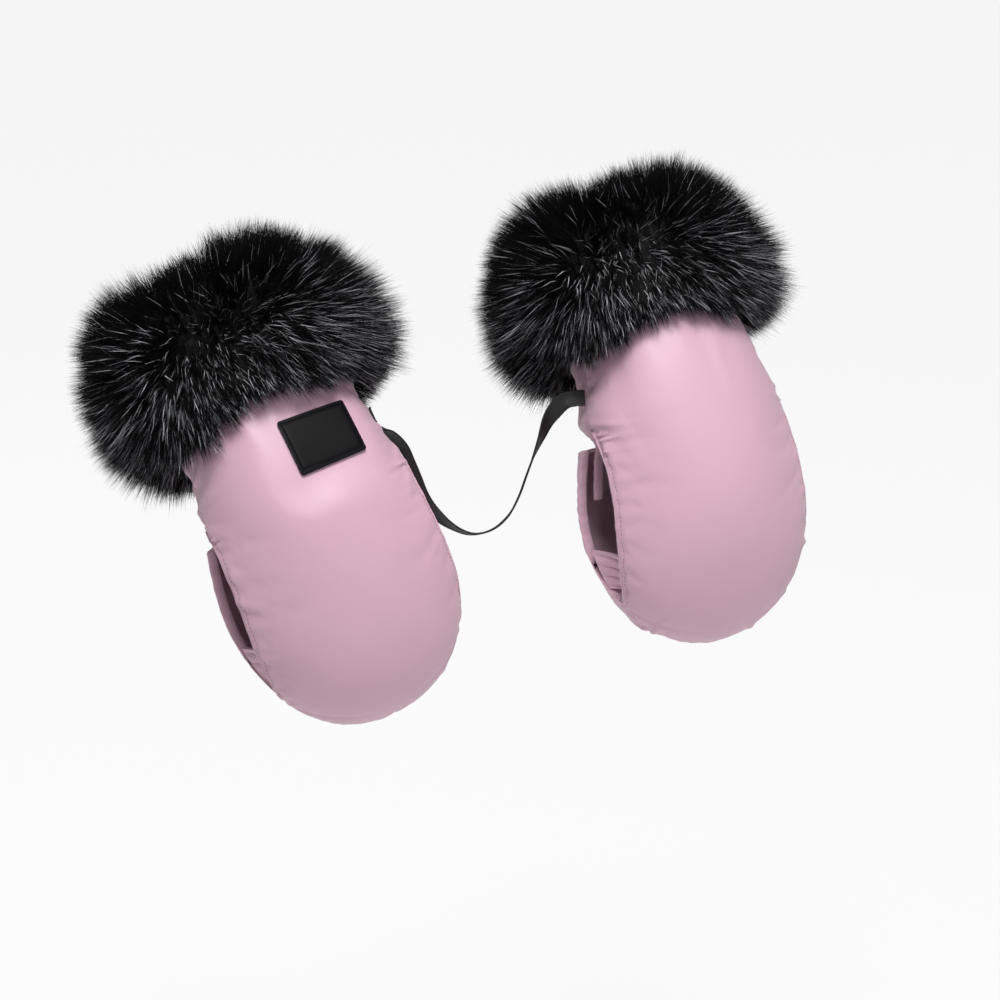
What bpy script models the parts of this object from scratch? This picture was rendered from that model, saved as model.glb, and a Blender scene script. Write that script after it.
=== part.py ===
"""A pair of padded hand muffs that hang over a stroller handlebar, joined by a strap.

Each muff is a mitten-shaped sleeve open at a fur cuff. It lies over the bar through a slot in each side, and
a flap on its back, folded at its foot and closed with two press studs, lets it go round the bar. The frame's
origin is on the handlebar's axis, midway between the muffs: X runs along the bar, Y from the muffs' fronts
to their backs, and Z up. Each muff is shaped in its own frame, which an empty places.

A muff's body is laid along a spine that leans back more the higher it goes. A place in it is a distance
along the spine, a distance across and a distance out from it, to the front or to the back.
"""

import math

import bmesh
import bpy
import numpy as np
from mathutils import Matrix, Vector

MM = 0.001

# Muff body along its spine, measured from the bar's axis
TIP_BELOW_BAR = 86 * MM
WIDEST_BELOW_BAR = 6 * MM
CUFF_SEAM_ABOVE_BAR = 105 * MM
WIDEST_HALF_WIDTH = 68 * MM
WIDEST_FRONT_DEPTH = 45 * MM
WIDEST_BACK_DEPTH = 60 * MM
CUFF_HALF_WIDTH = 50 * MM
CUFF_FRONT_DEPTH = 40 * MM
CUFF_BACK_DEPTH = 46 * MM
FRONT_POWER = 2.1
BACK_POWER = 2.6
LEAN_AT_TIP = math.radians(7)
LEAN_AT_MOUTH = math.radians(52)
LEAN_STARTS_BELOW_BAR = 25 * MM
LEAN_ENDS_ABOVE_BAR = 135 * MM
SPINE_STEP = 0.25 * MM

# How the two muffs hang on the bar
MUFF_PLACES = {
    "left": (-115 * MM, -4 * MM, -10 * MM),
    "right": (108 * MM, -4 * MM, 4 * MM),
}
MUFF_ROLLS = {"left": math.radians(-17), "right": math.radians(-5)}

# Cloth and padding
SHELL_THICKNESS = 0.8 * MM
LINING_THICKNESS = 0.8 * MM
LAYER_GAP = 0.3 * MM
SEAM_GAP = 0.3 * MM
BODY_PADDING = 5.5 * MM
CUFF_PADDING = 0.8 * MM
FLAP_PADDING = 2.4 * MM
CUFF_TAPER_LENGTH = 24 * MM

# Slot in each side, for the bar
SLOT_HALF_LENGTH = 53 * MM
SLOT_FRONT_REACH = 22 * MM
SLOT_BACK_REACH = 26 * MM

# Flap on the back and the tail that it closes over
FLAP_TOP_ABOVE_BAR = 40 * MM
FLAP_FOLD_TURN = math.radians(26)
TAIL_STEP_TOP = 62 * MM
TAIL_STEP_FOOT = 43 * MM
TAIL_END_ABOVE_BAR = 8 * MM

# Press studs
STUD_ABOVE_BAR = 25 * MM
STUD_OFF_CENTRE = 22 * MM
CAP_DIAMETER = 12.5 * MM
CAP_THICKNESS = 1.4 * MM
CAP_EDGE_ROUNDING = 0.5 * MM
SOCKET_DIAMETER = 11 * MM
SOCKET_THICKNESS = 1.9 * MM
STUD_FLANGE_DIAMETER = 10.5 * MM
STUD_FLANGE_THICKNESS = 0.9 * MM
NUB_DIAMETER = 5 * MM
NUB_HEIGHT = 1.4 * MM
NUB_CLEARANCE = 0.7 * MM
RIVET_DIAMETER = 4 * MM
RIVET_CLEARANCE = 0.3 * MM
STUD_SEAT = 0.45 * MM
STUD_INNER_SEAT = 0.9 * MM

# Fur cuff
FUR_RING_MIDDLE = 133 * MM
FUR_HALF_HEIGHT = 44 * MM
FUR_FRONT_DEPTH = 36 * MM
FUR_SIDE_DEPTH = 44 * MM
FUR_SEAT = 0.35 * MM
CUFF_END = 160 * MM
CUFF_BACKING_THICKNESS = 1.6 * MM
CUFF_FACING_THICKNESS = 0.8 * MM

# Rolled hem along the slot's front edge
HEM_THICKNESS = 4 * MM
HEM_OVERHANG = 0.6 * MM
HEM_SEAT = 0.5 * MM

# Folded gusset that closes each slot below the bar
GUSSET_TOP_BELOW_BAR = 23 * MM
GUSSET_FOOT_BELOW_BAR = 46 * MM
GUSSET_THICKNESS = 2.4 * MM
GUSSET_SAG = 4 * MM
GUSSET_FLAP_CLEARANCE = 3 * MM
GUSSET_HEM_CLEARANCE = 0.9 * MM

# Rubber patch on the left muff's front
PATCH_WIDTH = 40 * MM
PATCH_HEIGHT = 25 * MM
PATCH_THICKNESS = 1.6 * MM
PATCH_SEAT = 0.3 * MM
PATCH_ABOVE_BAR = 68 * MM
PATCH_OFF_CENTRE = 17 * MM

# Connecting strap
STRAP_WIDTH = 10 * MM
STRAP_THICKNESS = 1.2 * MM
STRAP_ROUTE = (
    (47.8 * MM, 23.2 * MM, 65.1 * MM),
    (42.3 * MM, 25.0 * MM, 64.9 * MM),
    (35.2 * MM, 27.0 * MM, 62.8 * MM),
    (27.6 * MM, 28.0 * MM, 53.6 * MM),
    (23.0 * MM, 29.0 * MM, 41.9 * MM),
    (18.0 * MM, 30.0 * MM, 29.4 * MM),
    (13.5 * MM, 30.0 * MM, 17.9 * MM),
    (9.2 * MM, 30.0 * MM, 6.7 * MM),
    (2.8 * MM, 31.0 * MM, -5.1 * MM),
    (-7.0 * MM, 33.5 * MM, -13.5 * MM),
    (-18.8 * MM, 38.0 * MM, -15.7 * MM),
    (-30.5 * MM, 43.0 * MM, -9.7 * MM),
    (-39.1 * MM, 47.0 * MM, -0.5 * MM),
    (-44.4 * MM, 50.0 * MM, 9.2 * MM),
    (-47.9 * MM, 51.5 * MM, 19.1 * MM),
    (-52.0 * MM, 51.5 * MM, 29.4 * MM),
    (-56.5 * MM, 50.0 * MM, 39.6 * MM),
    (-63.1 * MM, 47.0 * MM, 48.8 * MM),
    (-70.3 * MM, 43.0 * MM, 56.0 * MM),
    (-77.0 * MM, 37.6 * MM, 60.5 * MM),
    (-80.4 * MM, 31.2 * MM, 66.5 * MM),
    (-81.9 * MM, 24.6 * MM, 71.4 * MM),
)
STRAP_FACINGS = (
    (0.0, (0.0, 0.77, -0.64)),
    (0.05, (0.0, 0.77, -0.64)),
    (0.22, (-0.79, 0.47, 0.34)),
    (0.40, (-0.70, 0.50, 0.50)),
    (0.52, (-0.10, 0.50, 0.85)),
    (0.64, (0.60, 0.60, 0.40)),
    (0.78, (0.70, 0.70, -0.20)),
    (1.0, (0.97, 0.20, 0.10)),
)

# Grid counts
COLUMNS = 10
FUR_SECTION_SIDES = 10
ROUND_SIDES = 12
STRAP_SIDES = 6
STRAP_STATION_LENGTH = 9 * MM
SLOT_ROW_PAIRS = 4
HEM_SIDES = 8
GUSSET_COLUMNS = 5
GUSSET_ROWS = 7
CURVE_STEPS = 16
MERGE_DISTANCE = 0.01 * MM
# Grids and rings are begun at these sizes, then each point is put in its place
UNIT = 1.0
UNIT_WALL = 0.25

COLOURS = {
    "satin_shell": ((0.72, 0.44, 0.53), 0.42, 0.0),
    "padding": ((0.80, 0.80, 0.78), 0.95, 0.0),
    "lining": ((0.05, 0.05, 0.055), 0.9, 0.0),
    "fur": ((0.03, 0.03, 0.033), 0.8, 0.0),
    "cuff_cloth": ((0.06, 0.06, 0.062), 0.9, 0.0),
    "rubber": ((0.014, 0.014, 0.015), 0.45, 0.0),
    "steel": ((0.32, 0.32, 0.33), 0.35, 1.0),
    "strap_webbing": ((0.012, 0.012, 0.013), 0.7, 0.0),
}


def smooth_step(value, start, end):
    """0 before start, 1 after end, and a smooth rise between."""
    share = min(max((value - start) / (end - start), 0.0), 1.0)
    return share * share * (3 - 2 * share)


def blend(first, second, share):
    return first + (second - first) * share


def lean_at(along):
    rise = smooth_step(along, -LEAN_STARTS_BELOW_BAR, LEAN_ENDS_ABOVE_BAR)
    return blend(LEAN_AT_TIP, LEAN_AT_MOUTH, rise)


def make_spine():
    """Samples of the spine as distances along it with their Y and Z, worked out by adding up its lean."""
    low = -2 * TIP_BELOW_BAR
    high = 2 * CUFF_END
    along = np.arange(low, high, SPINE_STEP)
    leans = np.array([lean_at(a) for a in along])
    back = np.cumsum(np.sin(leans)) * SPINE_STEP
    up = np.cumsum(np.cos(leans)) * SPINE_STEP
    back -= np.interp(0, along, back)
    up -= np.interp(0, along, up)
    return along, back, up


SPINE = make_spine()


def place(across, along, out):
    """The point in the muff's frame; out is positive towards the front."""
    lean = lean_at(along)
    back = np.interp(along, SPINE[0], SPINE[1])
    up = np.interp(along, SPINE[0], SPINE[2])
    return Vector((across, back - out * math.cos(lean), up + out * math.sin(lean)))


def section(front, along):
    """Half width and depth of the body's section at a distance along the spine."""
    rise = smooth_step(along, -WIDEST_BELOW_BAR, CUFF_SEAM_ABOVE_BAR)
    width = blend(WIDEST_HALF_WIDTH, CUFF_HALF_WIDTH, rise)
    if front:
        return width, blend(WIDEST_FRONT_DEPTH, CUFF_FRONT_DEPTH, rise)
    return width, blend(WIDEST_BACK_DEPTH, CUFF_BACK_DEPTH, rise)


def body_place(front, turn, row, inset, seam_gap=SEAM_GAP):
    """(across, along, out) on the body's surface, inset from it.

    turn goes from one side seam, -90 degrees, to the other. A row is ("along", distance) above the widest
    place and ("tip", angle) below it, where the rows close in on the rounded tip.
    """
    power = FRONT_POWER if front else BACK_POWER
    kind, value = row
    along = value if kind == "along" else -WIDEST_BELOW_BAR
    width, depth = section(front, along)
    sine = math.copysign(abs(math.sin(turn)) ** (2 / power), turn)
    cosine = max(math.cos(turn), 0.0) ** (2 / power)
    across = (width - inset) * sine
    out = (depth - inset) * cosine
    if kind == "tip":
        length = TIP_BELOW_BAR - WIDEST_BELOW_BAR - inset
        across *= math.sqrt(1 - math.sin(value) ** 2 / 2)
        along -= length * math.sin(value) * math.sqrt(1 - math.sin(turn) ** 2 / 2)
        out *= max(math.cos(value), 0.0) ** (2 / power)
    out += seam_gap / 2
    return across, along, out if front else -out


def slot_depth(front, along):
    """How far the slot's edge lies from the seam's plane at a distance along the spine."""
    share = along / SLOT_HALF_LENGTH
    if abs(share) >= 1:
        return 0.0
    return (SLOT_FRONT_REACH if front else SLOT_BACK_REACH) * math.sqrt(1 - share * share)


def edge_turn(front, row, inset):
    """The turn at which a row meets the slot's edge, or the side seam where there is no slot."""
    low, high = math.radians(30), math.radians(90)
    for _ in range(40):
        middle = (low + high) / 2
        _, along, out = body_place(front, middle, row, inset)
        depth = slot_depth(front, along)
        if abs(out) > depth + SEAM_GAP / 2:
            low = middle
        else:
            high = middle
    return low if low < math.radians(89.9) else math.radians(90)


def material(name):
    found = bpy.data.materials.get(name)
    if found:
        return found
    colour, roughness, metallic = COLOURS[name]
    made = bpy.data.materials.new(name)
    made.use_nodes = True
    shader = made.node_tree.nodes["Principled BSDF"]
    shader.inputs["Base Color"].default_value = (*colour, 1.0)
    shader.inputs["Roughness"].default_value = roughness
    shader.inputs["Metallic"].default_value = metallic
    made.diffuse_color = (*colour, 1.0)
    return made


def finish_object(name, mesh, finish, parent, collection):
    mesh.materials.append(material(finish))
    made = bpy.data.objects.new(name, mesh)
    collection.objects.link(made)
    made.parent = parent
    return made


def wall_mesh(name, columns, rows, outer, inner):
    """A closed wall between two surfaces, each a function of a column share and a row number."""
    shape = bmesh.new()
    bmesh.ops.create_grid(shape, x_segments=columns, y_segments=len(rows) - 1, size=UNIT)
    column = shape.verts.layers.float.new("column")
    row = shape.verts.layers.float.new("row")
    for vert in shape.verts:
        vert[column] = vert.co.x
        vert[row] = (vert.co.y + 1) / 2 * (len(rows) - 1)
    outside = set(shape.verts)
    bmesh.ops.extrude_face_region(shape, geom=shape.faces[:], use_keep_orig=True)
    for vert in shape.verts:
        surface = outer if vert in outside else inner
        vert.co = surface(vert[column], rows[round(vert[row])])
    return bmesh_to_mesh(shape, name)


def face_outwards(shape):
    bmesh.ops.recalc_face_normals(shape, faces=shape.faces)
    if shape.calc_volume(signed=True) < 0:
        bmesh.ops.reverse_faces(shape, faces=shape.faces)


def bmesh_to_mesh(shape, name):
    face_outwards(shape)
    mesh = bpy.data.meshes.new(name)
    shape.to_mesh(mesh)
    shape.free()
    mesh.shade_smooth()
    mesh.set_sharp_from_angle(angle=math.radians(40))
    return mesh


def padding_at(row, thickest):
    """Padding is full thickness in the body and thins to the cuff's seam."""
    kind, along = row
    if kind == "tip":
        return thickest
    share = smooth_step(along, CUFF_SEAM_ABOVE_BAR - CUFF_TAPER_LENGTH, CUFF_SEAM_ABOVE_BAR)
    return blend(thickest, CUFF_PADDING, share)


FLAP_THICKNESS = SHELL_THICKNESS + 2 * LAYER_GAP + FLAP_PADDING + LINING_THICKNESS
PLACKET_GAP = STUD_INNER_SEAT + SOCKET_THICKNESS + STUD_FLANGE_THICKNESS + 2 * STUD_SEAT
TAIL_INSET = FLAP_THICKNESS + PLACKET_GAP


def step_share(row):
    """0 in the back panel's upper part, 1 in the tail that runs in under the flap."""
    return 1 - smooth_step(row[1], TAIL_STEP_FOOT, TAIL_STEP_TOP)


def plain_start(row):
    return 0.0


def body_padding(row):
    return padding_at(row, BODY_PADDING)


def back_start(row):
    return TAIL_INSET * step_share(row)


def back_padding(row):
    return blend(padding_at(row, BODY_PADDING), FLAP_PADDING, step_share(row))


def flap_padding(row):
    return FLAP_PADDING


def lower_back_padding(row):
    """Thin where it joins the flap's fold, full towards the tip."""
    share = smooth_step(row[1], FLAP_FOLD_TURN, 2 * FLAP_FOLD_TURN)
    return blend(FLAP_PADDING, BODY_PADDING, share)


def surface_of(front, inset_of, origin):
    """The surface at an inset that may change by row, as a function of column share and row."""

    def surface(share, row):
        inset = inset_of(row)
        turn = share * edge_turn(front, row, inset)
        return place(*body_place(front, turn, row, inset)) - origin

    return surface


def panel(side, name, front, rows, start_of, padding_of, inside, parent, origin, collection):
    """A padded panel's shell, padding and lining, each a wall of its own; inside is the lining's finish."""

    def padding_from(row):
        return start_of(row) + SHELL_THICKNESS + LAYER_GAP

    def padding_to(row):
        return padding_from(row) + padding_of(row)

    def lining_from(row):
        return padding_to(row) + LAYER_GAP

    def lining_to(row):
        return lining_from(row) + LINING_THICKNESS

    def shell_to(row):
        return start_of(row) + SHELL_THICKNESS

    layers = (
        ("shell", start_of, shell_to, "satin_shell"),
        ("padding", padding_from, padding_to, "padding"),
        ("lining", lining_from, lining_to, inside),
    )
    made = []
    for layer, outer, inner, finish in layers:
        node = f"{side}_{name}_{layer}"
        mesh = wall_mesh(
            node,
            COLUMNS,
            rows,
            surface_of(front, outer, origin),
            surface_of(front, inner, origin),
        )
        made.append(finish_object(node, mesh, finish, parent, collection))
        made[-1].location = origin
    return made


def rows_between(kind, first, last, count):
    return [(kind, blend(first, last, step / count)) for step in range(count + 1)]


def gap_row(row, towards):
    """The row moved by the seam gap along its own direction, so that panels that meet stay clear."""
    kind, value = row
    if kind == "along":
        return kind, value + math.copysign(SEAM_GAP, towards)
    return kind, value + math.copysign(SEAM_GAP / (TIP_BELOW_BAR - WIDEST_BELOW_BAR), towards)


def slot_rows():
    """Rows of the front panel along the slot, closer together towards its two ends."""
    rows = []
    for step in range(SLOT_ROW_PAIRS + 1):
        share = math.cos(math.pi / 2 * step / SLOT_ROW_PAIRS)
        rows.append(("along", blend(-WIDEST_BELOW_BAR, SLOT_HALF_LENGTH, share)))
    for step in range(1, SLOT_ROW_PAIRS + 1):
        share = math.sin(math.pi / 2 * step / SLOT_ROW_PAIRS)
        along = blend(-WIDEST_BELOW_BAR, -SLOT_HALF_LENGTH, share)
        rows.append(row_at(True, along, wall_thickness() / 2))
    return rows


def front_rows():
    upper = rows_between("along", CUFF_SEAM_ABOVE_BAR, SLOT_HALF_LENGTH, 3)[:-1]
    slot = slot_rows()
    tip = rows_between("tip", slot[-1][1], math.pi / 2, 3)[1:]
    return upper + slot + tip


def back_rows():
    upper = rows_between("along", CUFF_SEAM_ABOVE_BAR, TAIL_STEP_TOP, 2)
    step = rows_between("along", TAIL_STEP_TOP, TAIL_STEP_FOOT, 3)[1:]
    tail = rows_between("along", TAIL_STEP_FOOT, TAIL_END_ABOVE_BAR, 2)[1:]
    return upper + step + tail


def flap_rows():
    upper = rows_between("along", FLAP_TOP_ABOVE_BAR, -WIDEST_BELOW_BAR, 3)
    fold = rows_between("tip", 0.0, FLAP_FOLD_TURN, 2)[1:]
    return upper + fold


def lower_back_rows():
    return [gap_row(("tip", FLAP_FOLD_TURN), 1)] + rows_between(
        "tip", FLAP_FOLD_TURN, math.pi / 2, 4
    )[1:]


def hinge_origin():
    """The fold's outermost line, on which the flap turns."""
    return place(*body_place(False, 0.0, ("tip", FLAP_FOLD_TURN), 0.0))


def ring_mesh(name, sections, rows, point):
    """A closed ring round the muff: point gives the place at an angle round it and a row of its wall."""
    bpy.ops.mesh.primitive_torus_add(
        major_segments=sections, minor_segments=rows, major_radius=UNIT, minor_radius=UNIT_WALL
    )
    made = bpy.context.active_object
    mesh = made.data
    mesh.name = name
    for vert in mesh.vertices:
        x, y, z = vert.co
        around = math.atan2(y, x)
        wall = math.atan2(z, math.hypot(x, y) - UNIT) % math.tau
        vert.co = point(around, round(wall / math.tau * rows) % rows)
    bpy.data.objects.remove(made)
    shape = bmesh.new()
    shape.from_mesh(mesh)
    face_outwards(shape)
    shape.to_mesh(mesh)
    shape.free()
    mesh.shade_smooth()
    mesh.set_sharp_from_angle(angle=math.radians(50))
    return mesh


def around_place(around, along, inset):
    """A point on the body's section, all round it, measured from the middle of the front."""
    front = math.cos(around) >= 0
    turn = math.asin(max(-1.0, min(1.0, math.sin(around))))
    across, along, out = body_place(front, turn, ("along", along), inset, 0.0)
    return place(across, along, out)


def cuff_tube(side, name, outer_inset, thickness, finish, parent, collection):
    levels = rows_between("along", CUFF_SEAM_ABOVE_BAR + SEAM_GAP, CUFF_END, 2)
    loop = [(level[1], outer_inset) for level in levels]
    loop += [(level[1], outer_inset + thickness) for level in reversed(levels)]

    def point(around, row):
        along, inset = loop[row]
        return around_place(around, along, inset)

    node = f"{side}_{name}"
    mesh = ring_mesh(node, 2 * COLUMNS, len(loop), point)
    return finish_object(node, mesh, finish, parent, collection)


def fur_ring(side, parent, collection):
    """The fur cuff's pile as one fat ring round the mouth."""

    def point(around, row):
        angle = math.tau * (row + 0.5) / FUR_SECTION_SIDES
        along = FUR_RING_MIDDLE + FUR_HALF_HEIGHT * math.cos(angle)
        depth = blend(FUR_FRONT_DEPTH, FUR_SIDE_DEPTH, math.sin(around) ** 2)
        off = FUR_SEAT + depth / 2 * (1 + math.sin(angle))
        return around_place(around, along, -off)

    node = f"{side}_fur_cuff"
    mesh = ring_mesh(node, 2 * COLUMNS, FUR_SECTION_SIDES, point)
    return finish_object(node, mesh, "fur", parent, collection)


def wall_thickness():
    return SHELL_THICKNESS + 2 * LAYER_GAP + BODY_PADDING + LINING_THICKNESS


def slot_hem(side, name, sign, parent, collection):
    """A rolled hem that edges the front panel along the slot, on the cut ends of its layers."""
    middle_inset = wall_thickness() / 2
    half = middle_inset + HEM_OVERHANG
    shape = bmesh.new()
    rings = []
    for row in slot_rows()[1:-1]:
        turn = edge_turn(True, row, middle_inset)
        across, along, out = body_place(True, turn, row, middle_inset)
        out -= HEM_THICKNESS / 2 + HEM_SEAT
        ring = []
        for step in range(HEM_SIDES):
            angle = math.tau * (step + 0.5) / HEM_SIDES
            wide = half * math.cos(angle)
            thick = HEM_THICKNESS / 2 * math.sin(angle)
            ring.append(shape.verts.new(place(sign * (across + wide), along, out + thick)))
        rings.append(ring)
    for first, second in zip(rings, rings[1:]):
        for step in range(HEM_SIDES):
            following = (step + 1) % HEM_SIDES
            shape.faces.new((first[step], first[following], second[following], second[step]))
    shape.faces.new(rings[0])
    shape.faces.new(rings[-1])
    node = f"{side}_{name}"
    return finish_object(node, bmesh_to_mesh(shape, node), "satin_shell", parent, collection)


def row_at(front, along, inset):
    """The row whose slot edge lies at a distance along the spine."""
    if along >= -WIDEST_BELOW_BAR:
        return "along", along
    low, high = 0.0, math.pi / 2
    for _ in range(40):
        middle = (low + high) / 2
        turn = edge_turn(front, ("tip", middle), inset)
        if body_place(front, turn, ("tip", middle), inset)[1] > along:
            low = middle
        else:
            high = middle
    return "tip", low


def slot_side(front, along, inset):
    """How far across the slot's edge lies, at a distance along the spine."""
    row = row_at(front, along, inset)
    return body_place(front, edge_turn(front, row, inset), row, inset)[0]


def gusset_back(along):
    """Where a gusset ends at the back, clear of the lower back's edge and of the flap as it turns."""
    edge = GUSSET_FLAP_CLEARANCE - slot_depth(False, along)
    _, fold_along, fold_out = body_place(False, 0.0, ("tip", FLAP_FOLD_TURN), 0.0)
    reach = GUSSET_FLAP_CLEARANCE - fold_out - slot_depth(False, fold_along)
    height = along - fold_along
    if 0 < height < reach:
        edge = max(edge, fold_out + math.sqrt(reach**2 - height**2))
    return edge


def gusset(side, name, sign, parent, collection):
    """The side piece that closes the slot below the bar, from the front's hem to the lower back."""

    def sheet(depth):
        def surface(share, row):
            along = row[1]
            part = (1 + share) / 2
            front_end = slot_depth(True, along) - HEM_SEAT - HEM_THICKNESS - GUSSET_HEM_CLEARANCE
            front_side = slot_side(True, along, wall_thickness() / 2)
            back_side = slot_side(False, along, FLAP_THICKNESS / 2)
            sag = GUSSET_SAG * 4 * part * (1 - part)
            across = blend(front_side, back_side, part) - sag - depth
            return place(sign * across, along, blend(front_end, gusset_back(along), part))

        return surface

    rows = rows_between("along", -GUSSET_TOP_BELOW_BAR, -GUSSET_FOOT_BELOW_BAR, GUSSET_ROWS)
    half = GUSSET_THICKNESS / 2
    node = f"{side}_{name}"
    mesh = wall_mesh(node, GUSSET_COLUMNS, rows, sheet(-half), sheet(half))
    return finish_object(node, mesh, "satin_shell", parent, collection)


def turned(name, profile, finish, parent, collection, frame):
    """A round piece from its profile of (radius, height), run down its outer side and turned."""
    mesh = bpy.data.meshes.new(name)
    points = [(radius, 0.0, height) for radius, height in profile]
    closed = profile[0][0] > 0
    edges = [(i, i + 1) for i in range(len(points) - 1)]
    if closed:
        edges.append((len(points) - 1, 0))
    mesh.from_pydata(points, edges, [])
    made = finish_object(name, mesh, finish, parent, collection)
    made.matrix_local = frame
    screw = made.modifiers.new("turn", "SCREW")
    screw.steps = ROUND_SIDES
    screw.render_steps = ROUND_SIDES
    screw.use_merge_vertices = True
    screw.merge_threshold = MERGE_DISTANCE
    screw.use_smooth_shade = True
    return made


def stud_frame(across, inset, sign_out, origin):
    """A frame on the back panel's surface at an inset, its Z pointing out from the muff or into it."""
    row = ("along", STUD_ABOVE_BAR)
    power = BACK_POWER
    width, _ = section(False, STUD_ABOVE_BAR)
    ratio = abs(across) / (width - inset)
    turn = math.copysign(math.asin(ratio ** (power / 2)), across)
    point = place(*body_place(False, turn, row, inset))
    step = math.radians(1)
    side_way = place(*body_place(False, turn + step, row, inset)) - point
    up_way = place(*body_place(False, turn, ("along", STUD_ABOVE_BAR + step * width), inset)) - point
    normal = side_way.cross(up_way).normalized()
    if normal.y < 0:
        normal = -normal
    normal *= sign_out
    x_axis = side_way.normalized()
    y_axis = normal.cross(x_axis)
    turned_frame = Matrix((x_axis, y_axis, normal)).transposed().to_4x4()
    return Matrix.Translation(point - origin) @ turned_frame


def drilled(targets, name, radius, depth_low, depth_high, frame, parent, cutters):
    """A hole through each of the targets, on a frame's Z axis."""
    shape = bmesh.new()
    height = depth_high - depth_low
    bmesh.ops.create_cone(
        shape,
        cap_ends=True,
        segments=ROUND_SIDES,
        radius1=radius,
        radius2=radius,
        depth=height,
        matrix=Matrix.Translation((0, 0, depth_low + height / 2)),
    )
    mesh = bpy.data.meshes.new(name)
    shape.to_mesh(mesh)
    shape.free()
    cutter = bpy.data.objects.new(name, mesh)
    cutters.objects.link(cutter)
    cutter.parent = parent
    cutter.matrix_local = frame
    cutter.hide_render = True
    cutter.display_type = "WIRE"
    for target in targets:
        hole = target.modifiers.new(name, "BOOLEAN")
        hole.operation = "DIFFERENCE"
        hole.object = cutter


def press_stud(side, label, across, flap, tail, pivot, origin, base, collection, cutters):
    """Cap and socket riveted through the flap, stud and its rivet through the tail."""
    cap_r = CAP_DIAMETER / 2
    socket_r = SOCKET_DIAMETER / 2
    flange_r = STUD_FLANGE_DIAMETER / 2
    nub_r = NUB_DIAMETER / 2
    rivet_r = RIVET_DIAMETER / 2
    bore_r = nub_r + NUB_CLEARANCE
    outward = stud_frame(across, 0.0, 1, origin)
    rivet_length = FLAP_THICKNESS + STUD_SEAT
    cap = [
        (0.0, STUD_SEAT + CAP_THICKNESS),
        (cap_r - CAP_EDGE_ROUNDING, STUD_SEAT + CAP_THICKNESS),
        (cap_r, STUD_SEAT + CAP_THICKNESS - CAP_EDGE_ROUNDING),
        (cap_r, STUD_SEAT),
        (rivet_r, STUD_SEAT),
        (rivet_r, -rivet_length),
        (0.0, -rivet_length),
    ]
    turned(f"{side}_{label}_stud_cap", cap, "steel", pivot, collection, outward)
    top = -FLAP_THICKNESS - STUD_INNER_SEAT
    foot = top - SOCKET_THICKNESS
    ring_in = rivet_r + RIVET_CLEARANCE
    socket = [
        (ring_in, top),
        (socket_r, top),
        (socket_r, foot),
        (bore_r, foot),
        (bore_r, foot + NUB_HEIGHT),
        (ring_in, foot + NUB_HEIGHT),
    ]
    turned(f"{side}_{label}_stud_socket", socket, "steel", pivot, collection, outward)
    drilled(
        flap,
        f"{side}_{label}_flap_hole",
        rivet_r + RIVET_CLEARANCE,
        -2 * FLAP_THICKNESS,
        FLAP_THICKNESS,
        outward,
        pivot,
        cutters,
    )
    face = stud_frame(across, 0.0, 1, Vector())
    flange_top = foot - STUD_SEAT
    flange_foot = flange_top - STUD_FLANGE_THICKNESS
    stud = [
        (0.0, flange_top + NUB_HEIGHT),
        (nub_r, flange_top + NUB_HEIGHT),
        (nub_r, flange_top),
        (flange_r, flange_top),
        (flange_r, flange_foot),
        (rivet_r + RIVET_CLEARANCE, flange_foot),
        (rivet_r + RIVET_CLEARANCE, flange_foot + STUD_FLANGE_THICKNESS / 2),
        (0.0, flange_foot + STUD_FLANGE_THICKNESS / 2),
    ]
    turned(f"{side}_{label}_stud", stud, "steel", base, collection, face)
    tail_inner = flange_foot - STUD_SEAT - FLAP_THICKNESS
    back_top = tail_inner - STUD_INNER_SEAT
    back_foot = back_top - STUD_FLANGE_THICKNESS
    rivet = [
        (0.0, flange_foot),
        (rivet_r, flange_foot),
        (rivet_r, back_top),
        (flange_r, back_top),
        (flange_r, back_foot),
        (0.0, back_foot),
    ]
    turned(f"{side}_{label}_stud_rivet", rivet, "steel", base, collection, face)
    drilled(
        tail,
        f"{side}_{label}_tail_hole",
        rivet_r + RIVET_CLEARANCE,
        back_foot - FLAP_THICKNESS,
        flange_top,
        face,
        base,
        cutters,
    )


def rubber_patch(parent, collection):
    """A soft moulded label that follows the front panel, with a groove inside its raised rim."""
    across_counts, up_counts = 8, 6
    half_w, half_h = PATCH_WIDTH / 2, PATCH_HEIGHT / 2

    def sheet(depth_at):
        def surface(share, row):
            x = PATCH_OFF_CENTRE + share * half_w
            along = PATCH_ABOVE_BAR + (2 * row[1] - 1) * half_h
            inset = -PATCH_SEAT - depth_at
            width, _ = section(True, along)
            ratio = abs(x) / (width - inset)
            turn = math.copysign(math.asin(ratio ** (FRONT_POWER / 2)), x)
            return place(*body_place(True, turn, ("along", along), inset))

        return surface

    rows = [("share", step / up_counts) for step in range(up_counts + 1)]
    mesh = wall_mesh("left_rubber_patch", across_counts, rows, sheet(PATCH_THICKNESS), sheet(0.0))
    return finish_object("left_rubber_patch", mesh, "rubber", parent, collection)


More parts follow.
